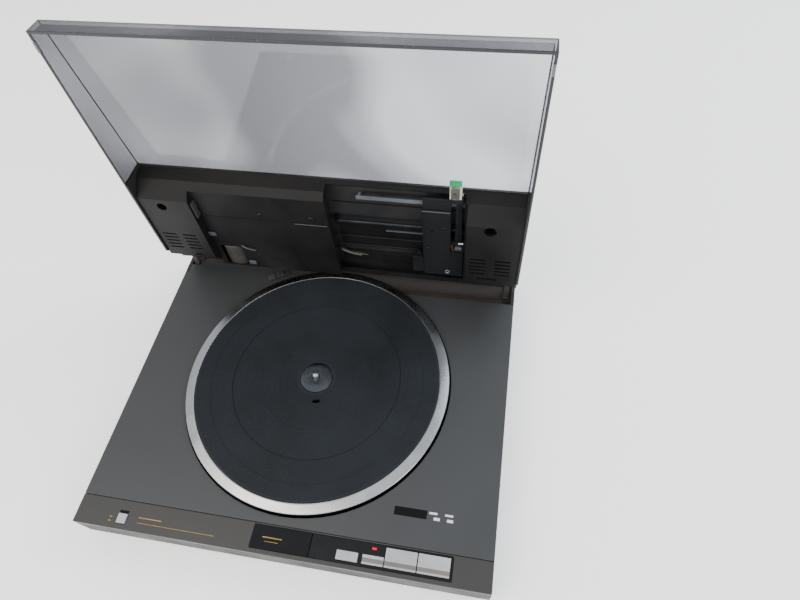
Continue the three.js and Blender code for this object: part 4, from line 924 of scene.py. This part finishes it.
def carriage_details():
    """Screws, black discs of painted shade for a sight hole and two dimples, a threaded boss and a lighter
    strip of painted highlight along the edge of the carriage's plate.
    """
    left, _, _, _, face, _ = extent("carriage", ON_LID)
    body = "arm_carriage"
    for i, (x, y) in enumerate(((110.5, 291), (129, 256))):
        screw(f"carriage_screw_{i + 1}", x, y, face, body, 1.7)
    # Black discs flush with the plate: painted shade where a sight hole and two dimples are.
    for name, x, y, radius in (
        ("sight_hole_shade", 115.7, 262, 1.6), ("dimple_1_shade", 133, 300, 0.6), ("dimple_2_shade", 137, 300, 0.6),
    ):
        piece(name, lambda shape, x=x, y=y, r=radius: disc(
            shape, [(0, face + 0.2), (r, face + 0.2), (r, face - 0.03), (0, face - 0.03)], "z", (x, y, 0), 24,
        ), ON_LID, body, "printed_black_ink", 0)
    inner, outer = 1.5, 3.2
    piece("threaded_boss", lambda shape: turned(shape, [
        (inner, face + 0.3), (outer, face + 0.3), (outer, face - 0.9), (outer - 0.3, face - 1.2),
        (inner + 0.3, face - 1.2), (inner, face - 0.9),
    ], "z", (132.6, 332, 0), 32), ON_LID, body, "nickel_plated_steel", 0)
    # A lighter strip along the plate's edge: a painted highlight.
    slab("painted_highlight_edge", (left + 0.5, 135.5, 230.6, 231.2, face - 0.25, face + 0.6), body,
         "slate_painted_steel", 0.1)
    slab("plate_fold", (105.4, 106.4, 232, 339, face - 0.5, face + 0.4), body, "painted_steel_carriage", 0.15)


def arm_details():
    """The arm's rib and spring seat, a tab and a lead at its root, and the cartridge's green nose."""
    rib = (21.4, 22.1)
    slab("arm_rib", (143.6, 145.2, 215, 279, *rib), "arm", "fine_black_abs", 0.25)
    piece("arm_spring_seat", lambda shape: turned(shape, [
        (1.0, 21.0), (2.4, 21.0), (2.4, rib[1]), (1.0, rib[1]),
    ], "z", (144.4, 270, 0), 32), ON_LID, "arm", "blackened_steel", 0)
    slab("white_tab", (144.6, 150.2, 277.4, 279.2, 18.9, 20.0), "arm_carriage", "printed_white_ink", 0.2)
    x0, x1, y0, _, z0, _ = extent("cartridge_body", ON_LID)
    skin, reach, height = 0.15, 5.5, 2.5
    slab("green_nose", (x0 - skin, x1 + skin, y0 - skin, y0 + reach, z0 - skin, z0 + height), "arm",
         "green_moulded_plastic", 0.3)
    wire("root_lead", [(137.0, 283, 20), (138.2, 286, 19.2), (138.0, 289, 19.4), (139, 292, 20)], 0.6,
         "arm_carriage", "orange_wire_sleeve")


# ---------------------------------------------------------------- light, floor and camera

# Where the camera is in metres, how far round and down it looks and leans in degrees, and its lens in mm.
CAMERA = {"at": (0.1824, -0.2658, 0.6509), "azimuth": 15.3, "elevation": 56.1, "roll": 6.8, "lens": 26.2}
SENSOR_WIDTH = 36
FLOOR_HALF = 6


def camera():
    """The camera, close above the front right corner and looking down into the open deck."""
    azimuth, elevation = math.radians(CAMERA["azimuth"]), math.radians(CAMERA["elevation"])
    flat = math.cos(elevation)
    forward = Vector((-math.sin(azimuth) * flat, math.cos(azimuth) * flat, -math.sin(elevation)))
    aim = forward.to_track_quat("-Z", "Y").to_matrix().to_4x4()
    data = bpy.data.cameras.new("camera")
    data.lens = CAMERA["lens"]
    data.sensor_width = SENSOR_WIDTH
    data.clip_start = 0.01
    made = bpy.data.objects.new("camera", data)
    made.matrix_world = (
        Matrix.Translation(CAMERA["at"]) @ aim @ Matrix.Rotation(math.radians(-CAMERA["roll"]), 4, "Z")
    )
    bpy.context.scene.collection.objects.link(made)
    bpy.context.scene.camera = made


def floor():
    """A plain pale floor with a glow of its own that keeps it near white."""
    made = drawn("floor", lambda shape: bmesh.ops.create_grid(
        shape, x_segments=1, y_segments=1, size=FLOOR_HALF,
    ))
    made.data.materials.append(material("pale_floor", lambda tree: add(tree, "BsdfPrincipled", {
        "Base Color": srgb("#fafafa"),
        "Roughness": 0.8,
        "Specular IOR Level": 0.0,
        "Emission Color": srgb("#ffffff"),
        "Emission Strength": 0.62,
    })))


def softbox(name, at, aim, size, power, colour):
    """A large soft light that points at a spot."""
    data = bpy.data.lights.new(name, "AREA")
    data.shape = "RECTANGLE"
    data.size, data.size_y = size
    data.energy = power
    data.color = srgb(colour)[:3]
    made = bpy.data.objects.new(name, data)
    made.location = at
    made.rotation_euler = (Vector(aim) - Vector(at)).to_track_quat("-Z", "Y").to_euler()
    bpy.context.scene.collection.objects.link(made)


def lights():
    """An even pale sky and three soft boxes: cool from behind, warm from above, weak from the side."""
    world = bpy.data.worlds.new("studio")
    bpy.context.scene.world = world
    world.use_nodes = True
    world.node_tree.nodes.clear()
    glow = add(world.node_tree, "Background", {"Color": srgb("#eceef2"), "Strength": 1.15})
    add(world.node_tree, "OutputWorld", {"Surface": glow.outputs[0]})
    softbox("window", (1.5, 0.9, 1.5), (0.1, 0, 0.1), (1.2, 1.0), 30, "#dfe8f4")
    softbox("ceiling", (-0.8, -0.9, 1.8), (0, 0, 0.1), (1.6, 1.4), 34, "#fff6ea")
    softbox("side", (1.5, -0.9, 0.8), (0, -0.1, 0.1), (0.7, 0.9), 10, "#f2f4f8")


# ---------------------------------------------------------------- assembly

kept_pieces()
platter()
platter_mat()
hub_cap()
spindle()
keys()
plain_marks()
trough_lips()
pan_details()
motor_can()
window_details()
carriage_details()
arm_details()
floor()
lights()
camera()
